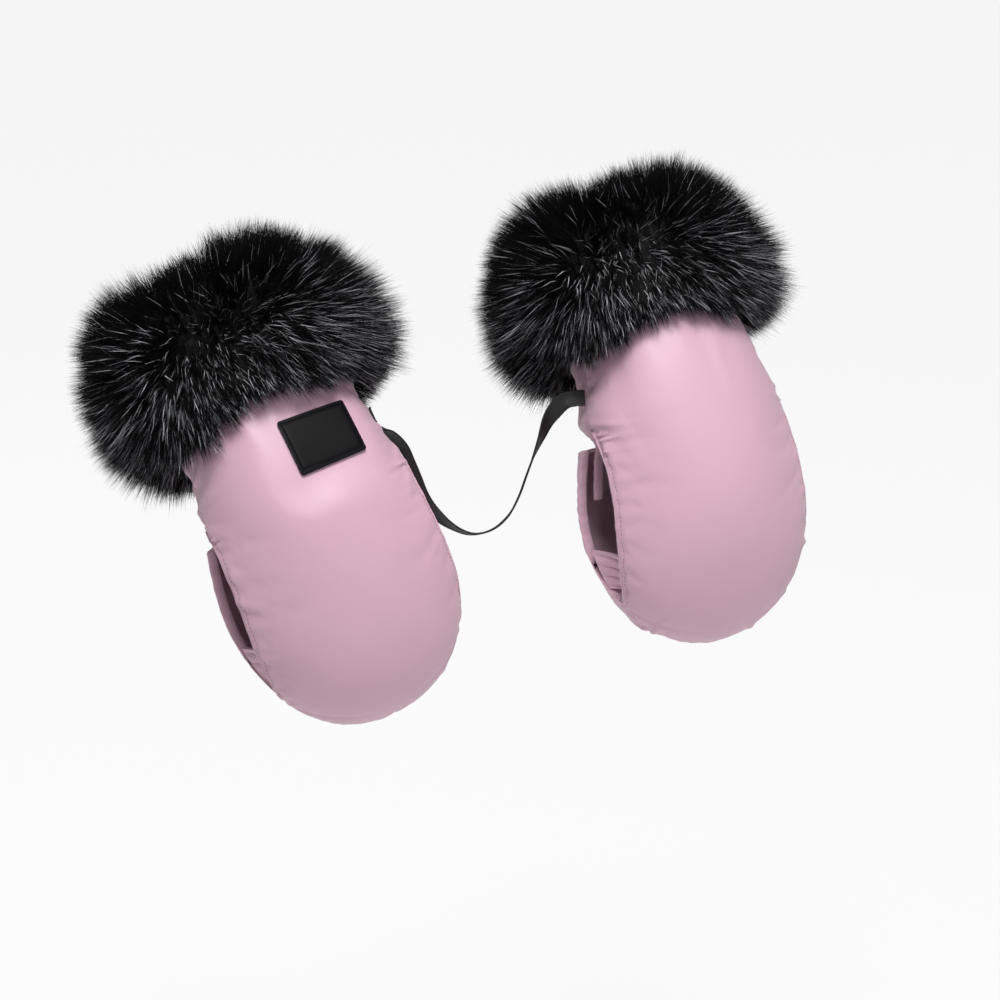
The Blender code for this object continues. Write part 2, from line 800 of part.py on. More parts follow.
def smooth_route(points, spacing):
    """Points at an even spacing on a smooth curve through the route's own points."""
    knots = [Vector(p) for p in points]
    line = []
    for i in range(len(knots) - 1):
        before = knots[i - 1] if i else 2 * knots[0] - knots[1]
        after = knots[i + 2] if i + 2 < len(knots) else 2 * knots[-1] - knots[-2]
        for step in range(CURVE_STEPS):
            t = step / CURVE_STEPS
            line.append(
                0.5
                * (
                    2 * knots[i]
                    + (knots[i + 1] - before) * t
                    + (2 * before - 5 * knots[i] + 4 * knots[i + 1] - after) * t * t
                    + (3 * knots[i] - before - 3 * knots[i + 1] + after) * t * t * t
                )
            )
    line.append(knots[-1])
    steps = [(b - a).length for a, b in zip(line, line[1:])]
    total = sum(steps)
    count = max(2, round(total / spacing))
    marks = np.linspace(0, total, count + 1)
    reach = np.concatenate([[0], np.cumsum(steps)])
    return [
        Vector([np.interp(mark, reach, [p[axis] for p in line]) for axis in range(3)])
        for mark in marks
    ]


def strap_facing(share):
    """The way that the strap's flat side faces at a share of its length."""
    shares = [facing[0] for facing in STRAP_FACINGS]
    return Vector([np.interp(share, shares, [f[1][axis] for f in STRAP_FACINGS]) for axis in range(3)])


def connecting_strap(collection):
    """A flat strap between the muffs' inner side seams, swept along its route and turned as it hangs."""
    route = smooth_route(STRAP_ROUTE, STRAP_STATION_LENGTH)
    last = len(route) - 1
    shape = bmesh.new()
    rings = []
    for number, centre in enumerate(route):
        ahead = (route[min(number + 1, last)] - route[max(number - 1, 0)]).normalized()
        facing = strap_facing(number / last)
        thick = (facing - ahead * facing.dot(ahead)).normalized()
        wide = ahead.cross(thick)
        ring = []
        for step in range(STRAP_SIDES):
            angle = math.tau * (step + 0.5) / STRAP_SIDES
            across = wide * (STRAP_WIDTH / 2 * math.cos(angle) / math.cos(math.pi / STRAP_SIDES))
            through = thick * (STRAP_THICKNESS / 2 * math.sin(angle) / math.cos(math.pi / STRAP_SIDES))
            ring.append(shape.verts.new(centre + across + through))
        rings.append(ring)
    for first, second in zip(rings, rings[1:]):
        for step in range(STRAP_SIDES):
            following = (step + 1) % STRAP_SIDES
            shape.faces.new((first[step], first[following], second[following], second[step]))
    shape.faces.new(rings[0])
    shape.faces.new(rings[-1])
    mesh = bmesh_to_mesh(shape, "connecting_strap")
    return finish_object("connecting_strap", mesh, "strap_webbing", None, collection)


def build_muff(side, collection, cutters):
    base = bpy.data.objects.new(f"{side}_muff_frame", None)
    collection.objects.link(base)
    base.location = MUFF_PLACES[side]
    base.rotation_euler = (0.0, MUFF_ROLLS[side], 0.0)
    origin = hinge_origin()
    pivot = bpy.data.objects.new(f"{side}_flap_pivot", None)
    collection.objects.link(pivot)
    pivot.parent = base
    pivot.location = origin
    zero = Vector()
    panels = {}
    for name, front, rows, start_of, padding_of, inside, parent, shift in (
        ("front", True, front_rows(), plain_start, body_padding, "lining", base, zero),
        ("back", False, back_rows(), back_start, back_padding, "satin_shell", base, zero),
        ("lower_back", False, lower_back_rows(), plain_start, lower_back_padding, "lining", base, zero),
        ("flap", False, flap_rows(), plain_start, flap_padding, "satin_shell", pivot, origin),
    ):
        panels[name] = panel(
            side, name, front, rows, start_of, padding_of, inside, parent, shift, collection
        )
    flap = panels["flap"]
    tail = panels["back"]
    for piece in flap:
        piece.location = zero
    lining_inset = SHELL_THICKNESS + 2 * LAYER_GAP + CUFF_PADDING
    cuff_tube(
        side, "cuff_backing", 0.0, CUFF_BACKING_THICKNESS, "cuff_cloth", base, collection
    )
    cuff_tube(
        side, "cuff_facing", lining_inset, CUFF_FACING_THICKNESS, "cuff_cloth", base, collection
    )
    fur_ring(side, base, collection)
    inner_sign = 1 if side == "left" else -1
    for label, sign in (("inner", inner_sign), ("outer", -inner_sign)):
        slot_hem(side, f"{label}_slot_hem", sign, base, collection)
        gusset(side, f"{label}_gusset", sign, base, collection)
        press_stud(
            side,
            label,
            sign * STUD_OFF_CENTRE,
            flap,
            tail,
            pivot,
            origin,
            base,
            collection,
            cutters,
        )
    return base


def main():
    for old in list(bpy.data.objects):
        bpy.data.objects.remove(old)
    collection = bpy.data.collections.new("stroller_hand_muffs")
    cutters = bpy.data.collections.new("cutters")
    bpy.context.scene.collection.children.link(collection)
    bpy.context.scene.collection.children.link(cutters)
    left = build_muff("left", collection, cutters)
    build_muff("right", collection, cutters)
    rubber_patch(left, collection)
    connecting_strap(collection)


main()
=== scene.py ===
"""Looks of a pair of padded stroller hand muffs: satin shells, wadding, fleece, faux-fur cuffs and trim.

Every piece is shaped from the same muff form. A place on a muff is a distance along its leaning spine, a
distance across it and a distance out from it, to the front or the back.
"""

import functools
import math

import bmesh
import bpy
import numpy as np
from mathutils import Matrix, Vector
from mathutils.kdtree import KDTree


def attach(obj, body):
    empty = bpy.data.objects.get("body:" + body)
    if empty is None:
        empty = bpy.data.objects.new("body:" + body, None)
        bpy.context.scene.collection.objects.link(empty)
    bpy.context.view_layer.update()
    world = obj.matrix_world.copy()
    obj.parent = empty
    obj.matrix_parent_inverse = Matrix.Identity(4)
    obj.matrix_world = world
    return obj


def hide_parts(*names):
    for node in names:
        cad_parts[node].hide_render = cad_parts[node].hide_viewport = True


bl_info = {
    "name": "Stroller hand muffs",
    "version": (1, 0, 0),
    "blender": (4, 5, 0),
    "location": "View3D > Sidebar > Muffs",
    "description": "Builds the cloth, fur and trim of a pair of stroller hand muffs round their frame",
    "category": "Object",
}

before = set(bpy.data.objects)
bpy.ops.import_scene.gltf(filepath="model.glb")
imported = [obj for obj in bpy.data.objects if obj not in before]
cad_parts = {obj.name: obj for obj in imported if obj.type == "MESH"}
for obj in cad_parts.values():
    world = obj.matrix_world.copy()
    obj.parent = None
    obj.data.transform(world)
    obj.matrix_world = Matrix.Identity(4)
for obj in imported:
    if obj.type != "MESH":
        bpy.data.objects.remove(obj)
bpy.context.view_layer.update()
MM = 0.001
TINY = 1e-12
FAR_OFF = 1.0
SIDES = ("left", "right")

# The muff's form, as the solids have it
TIP_BELOW_BAR = 86 * MM
WIDEST_BELOW_BAR = 6 * MM
CUFF_SEAM = 105 * MM
WIDEST_HALF_WIDTH = 68 * MM
CUFF_HALF_WIDTH = 50 * MM
WIDEST_DEPTHS = {"front": 45 * MM, "back": 60 * MM}
CUFF_DEPTHS = {"front": 40 * MM, "back": 46 * MM}
POWERS = {"front": 2.1, "back": 2.6}
LEAN_AT_TIP = math.radians(7)
LEAN_AT_MOUTH = math.radians(52)
LEAN_STARTS = -25 * MM
LEAN_ENDS = 135 * MM
MUFF_PLACES = {"left": (-115 * MM, -4 * MM, -10 * MM), "right": (108 * MM, -4 * MM, 4 * MM)}
MUFF_ROLLS = {"left": math.radians(-17), "right": math.radians(-5)}
SHELL = 0.8 * MM
LINING = 0.8 * MM
LAYER_GAP = 0.3 * MM
SEAM_GAP = 0.3 * MM
BODY_PADDING = 5.5 * MM
CUFF_PADDING = 0.8 * MM
FLAP_PADDING = 2.4 * MM
CUFF_TAPER = 24 * MM
SLOT_HALF_LENGTH = 53 * MM
SLOT_REACHES = {"front": 22 * MM, "back": 26 * MM}
FLAP_TOP = 40 * MM
FLAP_FOLD_TURN = math.radians(26)
FLAP_THICKNESS = SHELL + 2 * LAYER_GAP + FLAP_PADDING + LINING
TAIL_STEP_TOP = 62 * MM
TAIL_STEP_FOOT = 43 * MM
TAIL_END = 8 * MM
STUD_STACK = 4.6 * MM
TAIL_INSET = FLAP_THICKNESS + STUD_STACK
STUD_ABOVE_BAR = 25 * MM
STUD_OFF_CENTRE = 22 * MM
CUFF_END = 160 * MM
CUFF_BACKING = 1.6 * MM
CUFF_FACING = 0.8 * MM
FUR_BASE = 0.35 * MM
HEM_THICKNESS = 4 * MM
HEM_OVERHANG = 0.6 * MM
HEM_SEAT = 0.5 * MM
EDGE_THICKNESS = 1.8 * MM
EDGE_OVERHANG = 0.25 * MM
EDGE_SEAT = 0.15 * MM
GUSSET_TOP = -23 * MM
GUSSET_FOOT = -46 * MM
GUSSET_THICKNESS = 2.4 * MM
GUSSET_SAG = 4 * MM
GUSSET_FLAP_CLEARANCE = 3 * MM
GUSSET_HEM_CLEARANCE = 0.9 * MM
WALL = SHELL + 2 * LAYER_GAP + BODY_PADDING + LINING
PATCH_WIDTH = 40 * MM
PATCH_HEIGHT = 25 * MM
PATCH_THICKNESS = 1.6 * MM
PATCH_SEAT = 0.3 * MM
PATCH_CORNER = 1.4 * MM
PATCH_ABOVE_BAR = 68 * MM
PATCH_OFF_CENTRE = 17 * MM

# The strap's route, as the solids have it
STRAP_WIDTH = 10 * MM
STRAP_THICKNESS = 1.2 * MM
STRAP_ROUTE = [
    (47.8, 23.2, 65.1), (42.3, 25.0, 64.9), (35.2, 27.0, 62.8), (27.6, 28.0, 53.6), (23.0, 29.0, 41.9),
    (18.0, 30.0, 29.4), (13.5, 30.0, 17.9), (9.2, 30.0, 6.7), (2.8, 31.0, -5.1), (-7.0, 33.5, -13.5),
    (-18.8, 38.0, -15.7), (-30.5, 43.0, -9.7), (-39.1, 47.0, -0.5), (-44.4, 50.0, 9.2), (-47.9, 51.5, 19.1),
    (-52.0, 51.5, 29.4), (-56.5, 50.0, 39.6), (-63.1, 47.0, 48.8), (-70.3, 43.0, 56.0), (-77.0, 37.6, 60.5),
    (-80.4, 31.2, 66.5), (-81.9, 24.6, 71.4),
]
STRAP_FACINGS = (
    (0.0, (0.0, 0.77, -0.64)), (0.05, (0.0, 0.77, -0.64)), (0.22, (-0.79, 0.47, 0.34)),
    (0.40, (-0.70, 0.50, 0.50)), (0.52, (-0.10, 0.50, 0.85)), (0.64, (0.60, 0.60, 0.40)),
    (0.78, (0.70, 0.70, -0.20)), (1.0, (0.97, 0.20, 0.10)),
)

# The camera, as the photograph was taken
IMAGE_SIDE = 1000
VIEW_AZIMUTH = math.radians(-22)
VIEW_ELEVATION = math.radians(21.5)
VIEW_DISTANCE = 1.392
VIEW_RIGHT_OFFSET = -13.8 * MM
VIEW_UP_OFFSET = 15.6 * MM
FOCAL_PIXELS = 2417
SENSOR_WIDTH = 36.0


def colour_property(name, description, default):
    return bpy.props.FloatVectorProperty(
        name=name, description=description, subtype="COLOR", size=3, min=0, max=1, default=default
    )


def length_property(name, description, default, least, most):
    return bpy.props.FloatProperty(
        name=name, description=description, default=default, min=least, max=most, unit="LENGTH"
    )


def share_property(name, description, default, most=1.0):
    return bpy.props.FloatProperty(name=name, description=description, default=default, min=0, max=most)


class MUFF_PG_cloth(bpy.types.PropertyGroup):
    """What the satin shells look like."""

    satin: colour_property("Satin", "Colour of the shells", (0.70, 0.435, 0.535))
    fleece: colour_property("Fleece", "Colour of the lining", (0.055, 0.05, 0.055))
    gather: length_property("Gather height", "How high gathers stand beside the seams", 2.6 * MM, 0, 6 * MM)
    looseness: share_property("Looseness", "Share by which a loose sheet outgrows its form", 0.045, 0.2)
    pressure: share_property("Pressure", "Pressure of the wadding under a simulated sheet", 1.5, 10)
    pinch: length_property("Seam pinch", "How far the seams pull in", 1.6 * MM, 0, 4 * MM)
    hem: length_property("Stitch line", "From the slot's edge to the stitches", 1.7 * MM, MM, 15 * MM)
    pleat: length_property("Pleat depth", "Depth of the gussets' folds", 1.7 * MM, 0, 4 * MM)


class MUFF_PG_fur(bpy.types.PropertyGroup):
    """The cuffs' long pile."""

    length: length_property("Pile length", "Length of a strand", 46 * MM, 5 * MM, 60 * MM)
    side_growth: share_property("Longer at the sides", "Share by which side strands are longer", 0.2)
    width: length_property("Strand width", "Width of a strand at its root", 0.42 * MM, 0.05 * MM, 2 * MM)
    strands: bpy.props.IntProperty(
        name="Strands", description="Strands in each of a cuff's three pieces",
        default=38000, min=100, max=39900,
    )
    root: colour_property("Root", "Colour of the strands' roots", (0.0018, 0.0018, 0.0024))
    frost: colour_property("Frost", "Colour of the frosted part", (0.72, 0.73, 0.77))


class MUFF_PG_trim(bpy.types.PropertyGroup):
    """Strap, patch and studs."""

    stiffness: share_property("Patch stiffness", "Share of the cloth's curve that it takes out", 0.75)
    rubber: colour_property("Rubber", "Colour of the patch", (0.005, 0.005, 0.006))
    webbing: colour_property("Webbing", "Colour of the strap", (0.010, 0.0095, 0.0105))
    steel: colour_property("Steel", "Colour of the press studs", (0.55, 0.54, 0.53))
    rim: length_property("Patch rim", "Width of the patch's rim", 1.3 * MM, 0.5 * MM, 6 * MM)
    stitch: length_property("Stitch length", "Length of one stitch", 1.9 * MM, 1 * MM, 6 * MM)


class MUFF_PG_stage(bpy.types.PropertyGroup):
    """Floor, backdrop and lamps."""

    drop: length_property("Floor drop", "How far the floor lies below the bar's axis", 0.62, 0.2, 2)
    floor: colour_property("Floor", "Colour of the floor", (0.9, 0.9, 0.9))
    glow: share_property("Floor glow", "How white the floor looks to the camera", 0.88)
    daylight: share_property("Daylight", "Strength of the even light from all round", 0.26)


def settings(name):
    return getattr(bpy.context.scene, f"muff_{name}")


def smooth_step(value, start, end):
    share = np.clip((np.asarray(value, float) - start) / (end - start), 0.0, 1.0)
    return share * share * (3 - 2 * share)


def blend(first, second, share):
    return first + (second - first) * share


def unit(vectors):
    """The same ways at a length of one."""
    return vectors / (np.linalg.norm(vectors, axis=-1, keepdims=True) + TINY)


def reach_of(points):
    """How far along a line of points each one lies."""
    return np.concatenate([[0], np.cumsum(np.linalg.norm(np.diff(points, axis=0), axis=1))])


def values_at(marks, reach, values):
    """Rows of three values at marks along a line, from the rows at its own points."""
    return np.stack([np.interp(marks, reach, values[:, axis]) for axis in range(3)], axis=-1)


def make_spine():
    """Distances along the spine with their Y and Z, worked out by adding up its lean."""
    step = 0.25 * MM
    along = np.arange(-2 * TIP_BELOW_BAR, 2 * CUFF_END, step)
    leans = lean_at(along)
    back = np.cumsum(np.sin(leans)) * step
    up = np.cumsum(np.cos(leans)) * step
    return along, back - np.interp(0, along, back), up - np.interp(0, along, up)


def lean_at(along):
    return blend(LEAN_AT_TIP, LEAN_AT_MOUTH, smooth_step(along, LEAN_STARTS, LEAN_ENDS))


SPINE = make_spine()
HALVINGS = 36


def place(across, along, out):
    """Points in the muff's own frame; out is positive towards the front."""
    lean = lean_at(along)
    back = np.interp(along, SPINE[0], SPINE[1]) - out * np.cos(lean)
    up = np.interp(along, SPINE[0], SPINE[2]) + out * np.sin(lean)
    return np.stack(np.broadcast_arrays(across, back, up), axis=-1)


def to_world(side, points):
    """A muff's points where that muff hangs."""
    roll = MUFF_ROLLS[side]
    turn = np.array(
        [[math.cos(roll), 0, math.sin(roll)], [0, 1, 0], [-math.sin(roll), 0, math.cos(roll)]]
    )
    return points @ turn.T + np.array(MUFF_PLACES[side])


def body_place(face, turn, row, inset):
    """(across, along, out) on the body, inset from its surface.

    A row is (distance along, tip angle). Above the widest place the angle is zero, below it the distance
    stays and the angle closes the rows in on the rounded tip.
    """
    along, tip = row
    power = POWERS[face]
    rise = smooth_step(along, -WIDEST_BELOW_BAR, CUFF_SEAM)
    width = blend(WIDEST_HALF_WIDTH, CUFF_HALF_WIDTH, rise) - inset
    depth = blend(WIDEST_DEPTHS[face], CUFF_DEPTHS[face], rise) - inset
    sine = np.sign(turn) * np.abs(np.sin(turn)) ** (2 / power)
    cosine = np.maximum(np.cos(turn), 0.0) ** (2 / power)
    across = width * sine * np.sqrt(1 - np.sin(tip) ** 2 / 2)
    length = TIP_BELOW_BAR - WIDEST_BELOW_BAR - inset
    along = along - length * np.sin(tip) * np.sqrt(1 - np.sin(turn) ** 2 / 2)
    out = depth * cosine * np.maximum(np.cos(tip), 0.0) ** (2 / power) + SEAM_GAP / 2
    return across, along, out if face == "front" else -out


def slot_depth(face, along):
    share = np.clip(np.abs(along) / SLOT_HALF_LENGTH, 0.0, 1.0)
    return SLOT_REACHES[face] * np.sqrt(1 - share * share)


def edge_turn(face, row, inset):
    """The turn at which a row meets the slot's edge, or the side seam where there is no slot."""
    seam = math.radians(90)
    low = np.full(np.broadcast(row[0], row[1], inset).shape, seam / 3)
    high = np.full_like(low, seam)
    for _ in range(HALVINGS):
        middle = (low + high) / 2
        _, along, out = body_place(face, middle, row, inset)
        within = np.abs(out) > slot_depth(face, along) + SEAM_GAP / 2
        low = np.where(within, middle, low)
        high = np.where(within, high, middle)
    return np.where(low < 0.999 * seam, low, seam)


def rows_between(kind, first, last, count):
    values = np.linspace(first, last, count + 1)
    if kind == "along":
        return [(value, 0.0) for value in values]
    return [(-WIDEST_BELOW_BAR, value) for value in values]


def select_only(thing):
    bpy.ops.object.select_all(action="DESELECT")
    thing.select_set(True)
    bpy.context.view_layer.objects.active = thing


def new_primitive(name, add, **sizes):
    """A primitive under its own name, added with nothing else selected."""
    bpy.ops.object.select_all(action="DESELECT")
    add(**sizes)
    made = bpy.context.active_object
    made.name = name
    made.data.name = name
    return made


def new_sheet(name, points):
    """A grid laid on lines and columns of points, and the line and column of each of its own points."""
    lines, columns = points.shape[0] - 1, points.shape[1] - 1
    made = new_primitive(
        name, bpy.ops.mesh.primitive_grid_add, x_subdivisions=columns, y_subdivisions=lines, size=2
    )
    fresh = points_of(made)
    column = np.rint((fresh[:, 0] + 1) / 2 * columns).astype(int)
    line = np.rint((fresh[:, 1] + 1) / 2 * lines).astype(int)
    set_points(made, points[line, column])
    return made, line, column


def walled_sheet(name, outside, inside):
    """A closed sheet of cloth between two grids of points."""
    made, line, column = new_sheet(name, outside)
    close_wall(made, inside[line, column])
    return made


def points_of(thing):
    points = np.empty(len(thing.data.vertices) * 3)
    thing.data.vertices.foreach_get("co", points)
    return points.reshape(-1, 3)


def set_points(thing, points):
    thing.data.vertices.foreach_set("co", np.ascontiguousarray(points).ravel())
    thing.data.update()


def face_outwards(thing):
    """Turns a closed mesh's faces outwards, whatever its shape."""
    shape = bmesh.new()
    shape.from_mesh(thing.data)
    bmesh.ops.recalc_face_normals(shape, faces=shape.faces)
    if shape.calc_volume(signed=True) < 0:
        bmesh.ops.reverse_faces(shape, faces=shape.faces)
    shape.to_mesh(thing.data)
    shape.free()


def finish_piece(thing, body, slot, material, replaced=()):
    """Smooth shading, one material, a body to ride on and the nodes that the piece stands for hidden; the
    slot is not used.
    """
    select_only(thing)
    bpy.ops.object.shade_smooth_by_angle(angle=math.radians(50))
    thing.data.materials.clear()
    thing.data.materials.append(material)
    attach(thing, body)
    if replaced:
        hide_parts(*replaced)
    return thing


def new_material(name):
    made = bpy.data.materials.new(name)
    made.use_nodes = True
    return made, made.node_tree.nodes, made.node_tree.links, made.node_tree.nodes["Principled BSDF"]


GRAIN_NUMBERS = ("Dark", "Light", "From", "To", "Tone scale", "Tone detail", "Grain scale", "Grain detail")
SATIN_GRAIN = dict(zip(GRAIN_NUMBERS, (0.95, 1.03, 0.3, 0.7, 9, 4, 900, 2)))
SATIN_FINISH = {"Roughness": 0.46, "Specular IOR Level": 0.4, "Sheen Weight": 0.25, "Sheen Roughness": 0.4}


def grain_group():
    """The grain that the finishes share: a colour broken up into soft tones, and a fine height."""
    if "grain" in bpy.data.node_groups:
        return bpy.data.node_groups["grain"]
    group = bpy.data.node_groups.new("grain", "ShaderNodeTree")
    nodes, links, sockets = group.nodes, group.links, group.interface
    sockets.new_socket("Vector", in_out="INPUT", socket_type="NodeSocketVector")
    sockets.new_socket("Colour", in_out="INPUT", socket_type="NodeSocketColor")
    for label in GRAIN_NUMBERS:
        sockets.new_socket(label, in_out="INPUT", socket_type="NodeSocketFloat")
    sockets.new_socket("Colour", in_out="OUTPUT", socket_type="NodeSocketColor")
    sockets.new_socket("Height", in_out="OUTPUT", socket_type="NodeSocketFloat")
    given, result = nodes.new("NodeGroupInput"), nodes.new("NodeGroupOutput")
    noises = {}
    for label in ("Tone", "Grain"):
        noises[label] = nodes.new("ShaderNodeTexNoise")
        links.new(given.outputs["Vector"], noises[label].inputs["Vector"])
        links.new(given.outputs[f"{label} scale"], noises[label].inputs["Scale"])
        links.new(given.outputs[f"{label} detail"], noises[label].inputs["Detail"])
    level = nodes.new("ShaderNodeMapRange")
    links.new(noises["Tone"].outputs["Fac"], level.inputs["Value"])
    for label, socket in zip(GRAIN_NUMBERS, ("To Min", "To Max", "From Min", "From Max")):
        links.new(given.outputs[label], level.inputs[socket])
    shade = nodes.new("ShaderNodeVectorMath")
    shade.operation = "SCALE"
    links.new(given.outputs["Colour"], shade.inputs[0])
    links.new(level.outputs["Result"], shade.inputs["Scale"])
    links.new(shade.outputs["Vector"], result.inputs["Colour"])
    links.new(noises["Grain"].outputs["Fac"], result.inputs["Height"])
    return group


def grained_material(name, colour, grain, strength, depth, finish):
    """A finish with the shared grain, a bump of that strength and depth, and the shader's own numbers."""
    made, nodes, links, shader = new_material(name)
    where = nodes.new("ShaderNodeTexCoord")
    surface = nodes.new("ShaderNodeGroup")
    surface.node_tree = grain_group()
    surface.inputs["Colour"].default_value = (*colour, 1)
    for label, number in grain.items():
        surface.inputs[label].default_value = number
    bump = nodes.new("ShaderNodeBump")
    bump.inputs["Strength"].default_value = strength
    bump.inputs["Distance"].default_value = depth
    links.new(where.outputs["Object"], surface.inputs["Vector"])
    links.new(surface.outputs["Colour"], shader.inputs["Base Color"])
    links.new(surface.outputs["Height"], bump.inputs["Height"])
    links.new(bump.outputs["Normal"], shader.inputs["Normal"])
    for label, number in finish.items():
        shader.inputs[label].default_value = number
    return made


def satin_material(colour):
    return grained_material("satin", colour, SATIN_GRAIN, 0.06, 0.3 * MM, SATIN_FINISH)


def plain_material(name, colour, roughness, grain, depth, metallic=0.0, specular=0.5):
    """Cloth, rubber, metal or webbing, told apart by the fineness and depth of its grain."""
    numbers = dict(zip(GRAIN_NUMBERS, (0.8, 1.2, 0.0, 1.0, grain, 3, grain, 3)))
    finish = {"Roughness": roughness, "Metallic": metallic, "Specular IOR Level": specular}
    return grained_material(name, colour, numbers, strength=0.5, depth=depth, finish=finish)


FROST_BAND = ((0.0, 0.0), (0.5, 0.02), (0.66, 1.0), (0.86, 0.9), (1.0, 0.25))


def fur_material(root, frost):
    """Colour from the strand's own map: across it how frosted the strand is, up it from root to tip."""
    made, nodes, links, shader = new_material("long_pile")
    strand = nodes.new("ShaderNodeUVMap")
    strand.uv_map = STRAND_MAP
    split = nodes.new("ShaderNodeSeparateXYZ")
    band = nodes.new("ShaderNodeValToRGB")
    band.color_ramp.interpolation = "EASE"
    while len(band.color_ramp.elements) < len(FROST_BAND):
        band.color_ramp.elements.new(0.5)
    for element, (height, level) in zip(band.color_ramp.elements, FROST_BAND):
        element.position = height
        element.color = (level, level, level, 1)
    share = nodes.new("ShaderNodeMath")
    share.operation = "MULTIPLY"
    mix = nodes.new("ShaderNodeMix")
    mix.data_type = "RGBA"
    mix.inputs["A"].default_value = (*root, 1)
    mix.inputs["B"].default_value = (*frost, 1)
    links.new(strand.outputs["UV"], split.inputs["Vector"])
    links.new(split.outputs["Y"], band.inputs["Fac"])
    links.new(band.outputs["Color"], share.inputs[0])
    links.new(split.outputs["X"], share.inputs[1])
    links.new(share.outputs["Value"], mix.inputs["Factor"])
    links.new(mix.outputs["Result"], shader.inputs["Base Color"])
    shader.inputs["Roughness"].default_value = 0.5
    shader.inputs["Specular IOR Level"].default_value = 0.03
    return made


HASH_TABLE = 4096
FIRST_GATHER = 500
HELD_FLAT = 2.5 * MM
GATHER_SEEDS = {"left": 11, "right": 61}
FAN_CENTRE = -20 * MM
SEAM_FADE = 3 * MM
PINCH_REACH = 3.5 * MM
HEM_GROOVE = 0.5 * MM
HEM_GROOVE_WIDTH = 1.0 * MM
SIDE_FOLDS = (18 * MM, 40 * MM)
NECK_CREASES = (25 * MM, 50 * MM)
FOOT_CREASES = (45 * MM, 70 * MM)
SLOW_WAVE = 0.8 * MM
SLOW_LENGTHS = (17 * MM, 23 * MM)
SLOW_INSET = 25 * MM


def hashed(numbers, seed):
    """Even pseudo-random shares from whole numbers, the same each run."""
    table = np.random.default_rng(seed).random(HASH_TABLE)
    return table[np.asarray(numbers).astype(int) % HASH_TABLE]


def seam_puckers(seed, along, from_edge, spacing, length, height):
    """Small gathers square to a seam, highest a little way from it, that die out beyond their length."""
    cell = np.floor(along / spacing)
    total = np.zeros(np.broadcast(along, from_edge).shape)
    for shift in (-1, 0, 1):
        number = cell + shift
        place_share, width_share, reach_share, height_share, slant_share = (
            hashed(number + FIRST_GATHER, seed + step) for step in range(5)
        )
        centre = (number + 0.2 + 0.6 * place_share) * spacing
        wide = spacing * (0.19 + 0.15 * width_share)
        reach = length * (0.4 + 1.0 * reach_share)
        tall = height * (height_share - 0.35)
        slant = 0.9 * (slant_share - 0.5)
        ridge = np.exp(-(((along + slant * from_edge - centre) / wide) ** 2))
        total += tall * ridge * np.exp(-((from_edge / reach) ** 2))
    return total * (1 - 0.75 * np.exp(-((from_edge / HELD_FLAT) ** 2)))


def relief(side, panel, across, along, edge_gap):
    """How far the cloth stands out from the even form: gathers, folds, creases, waves and pinched seams."""
    cloth = settings("cloth")
    looseness = PANELS[panel]["looseness"]
    height = cloth.gather * looseness
    seed = GATHER_SEEDS[side]
    seam_way = WIDEST_HALF_WIDTH * np.arctan2(across, FAN_CENTRE - along)
    rise = seam_puckers(seed, seam_way, edge_gap, spacing=12 * MM, length=11 * MM, height=height)
    rise += seam_puckers(seed + 7, seam_way, edge_gap, spacing=7 * MM, length=8 * MM, height=0.7 * height)
    fold_way = across + 0.3 * along
    below_cuff = np.maximum(CUFF_SEAM - along, 0.0)
    folds = seam_puckers(seed + 31, fold_way, below_cuff, 15 * MM, 34 * MM, 1.1 * height)
    rise += folds * (1 + smooth_step(np.abs(across), *SIDE_FOLDS))
    neck = smooth_step(along, *NECK_CREASES)
    foot = smooth_step(-along, *FOOT_CREASES)
    round_edge = blend(seam_way, along, neck)
    creases = seam_puckers(seed + 53, round_edge, edge_gap, 10 * MM, 18 * MM, 1.4 * height)
    rise += creases * (neck + foot)
    at_seam = np.exp(-slot_depth(PANELS[panel]["face"], along) / SEAM_FADE)
    rise -= cloth.pinch * np.exp(-((edge_gap / PINCH_REACH) ** 2)) * at_seam
    rise -= HEM_GROOVE * np.exp(-(((edge_gap - cloth.hem) / HEM_GROOVE_WIDTH) ** 2)) * (1 - at_seam)
    first, second = SLOW_LENGTHS
    slow = np.sin(along / first + seed) * np.sin(across / second + 0.7 * seed)
    rise += SLOW_WAVE * looseness * slow * smooth_step(edge_gap, 0, SLOW_INSET)
    rise = rise * calm_places(side, panel, across, along)
    if panel == "front" and side == "left":
        rise += patch_press(across, along)
    return rise


CALM_AT_FOLD = (3 * MM, 18 * MM)
CALM_AT_STUD = (7 * MM, 15 * MM)
CALM_AT_PATCH = (0.5 * MM, 20 * MM)
PATCH_PRESS_REACH = 14 * MM


def fold_place():
    """How far along and out the flap's fold lies, at its middle."""
    _, along, out = body_place("back", 0.0, (-WIDEST_BELOW_BAR, FLAP_FOLD_TURN), 0.0)
    return along, out


def beyond_patch(across, along):
    """How far outside the patch's rectangle a place lies."""
    sideways = np.maximum(np.abs(across - PATCH_OFF_CENTRE) - PATCH_WIDTH / 2, 0)
    upwards = np.maximum(np.abs(along - PATCH_ABOVE_BAR) - PATCH_HEIGHT / 2, 0)
    return np.hypot(sideways, upwards)


def calm_places(side, panel, across, along):
    """Nought where a stud, the patch or the flap's fold holds the cloth flat, one elsewhere."""
    calm = np.ones(np.broadcast(across, along).shape)
    if panel in ("flap", "lower_back"):
        calm = calm * smooth_step(np.abs(along - fold_place()[0]), *CALM_AT_FOLD)
    if panel in ("flap", "back"):
        for sign in (-1, 1):
            far = np.hypot(across - sign * STUD_OFF_CENTRE, along - STUD_ABOVE_BAR)
            calm = calm * smooth_step(far, *CALM_AT_STUD)
    if panel == "front" and side == "left":
        calm = calm * smooth_step(beyond_patch(across, along), *CALM_AT_PATCH)
    return calm


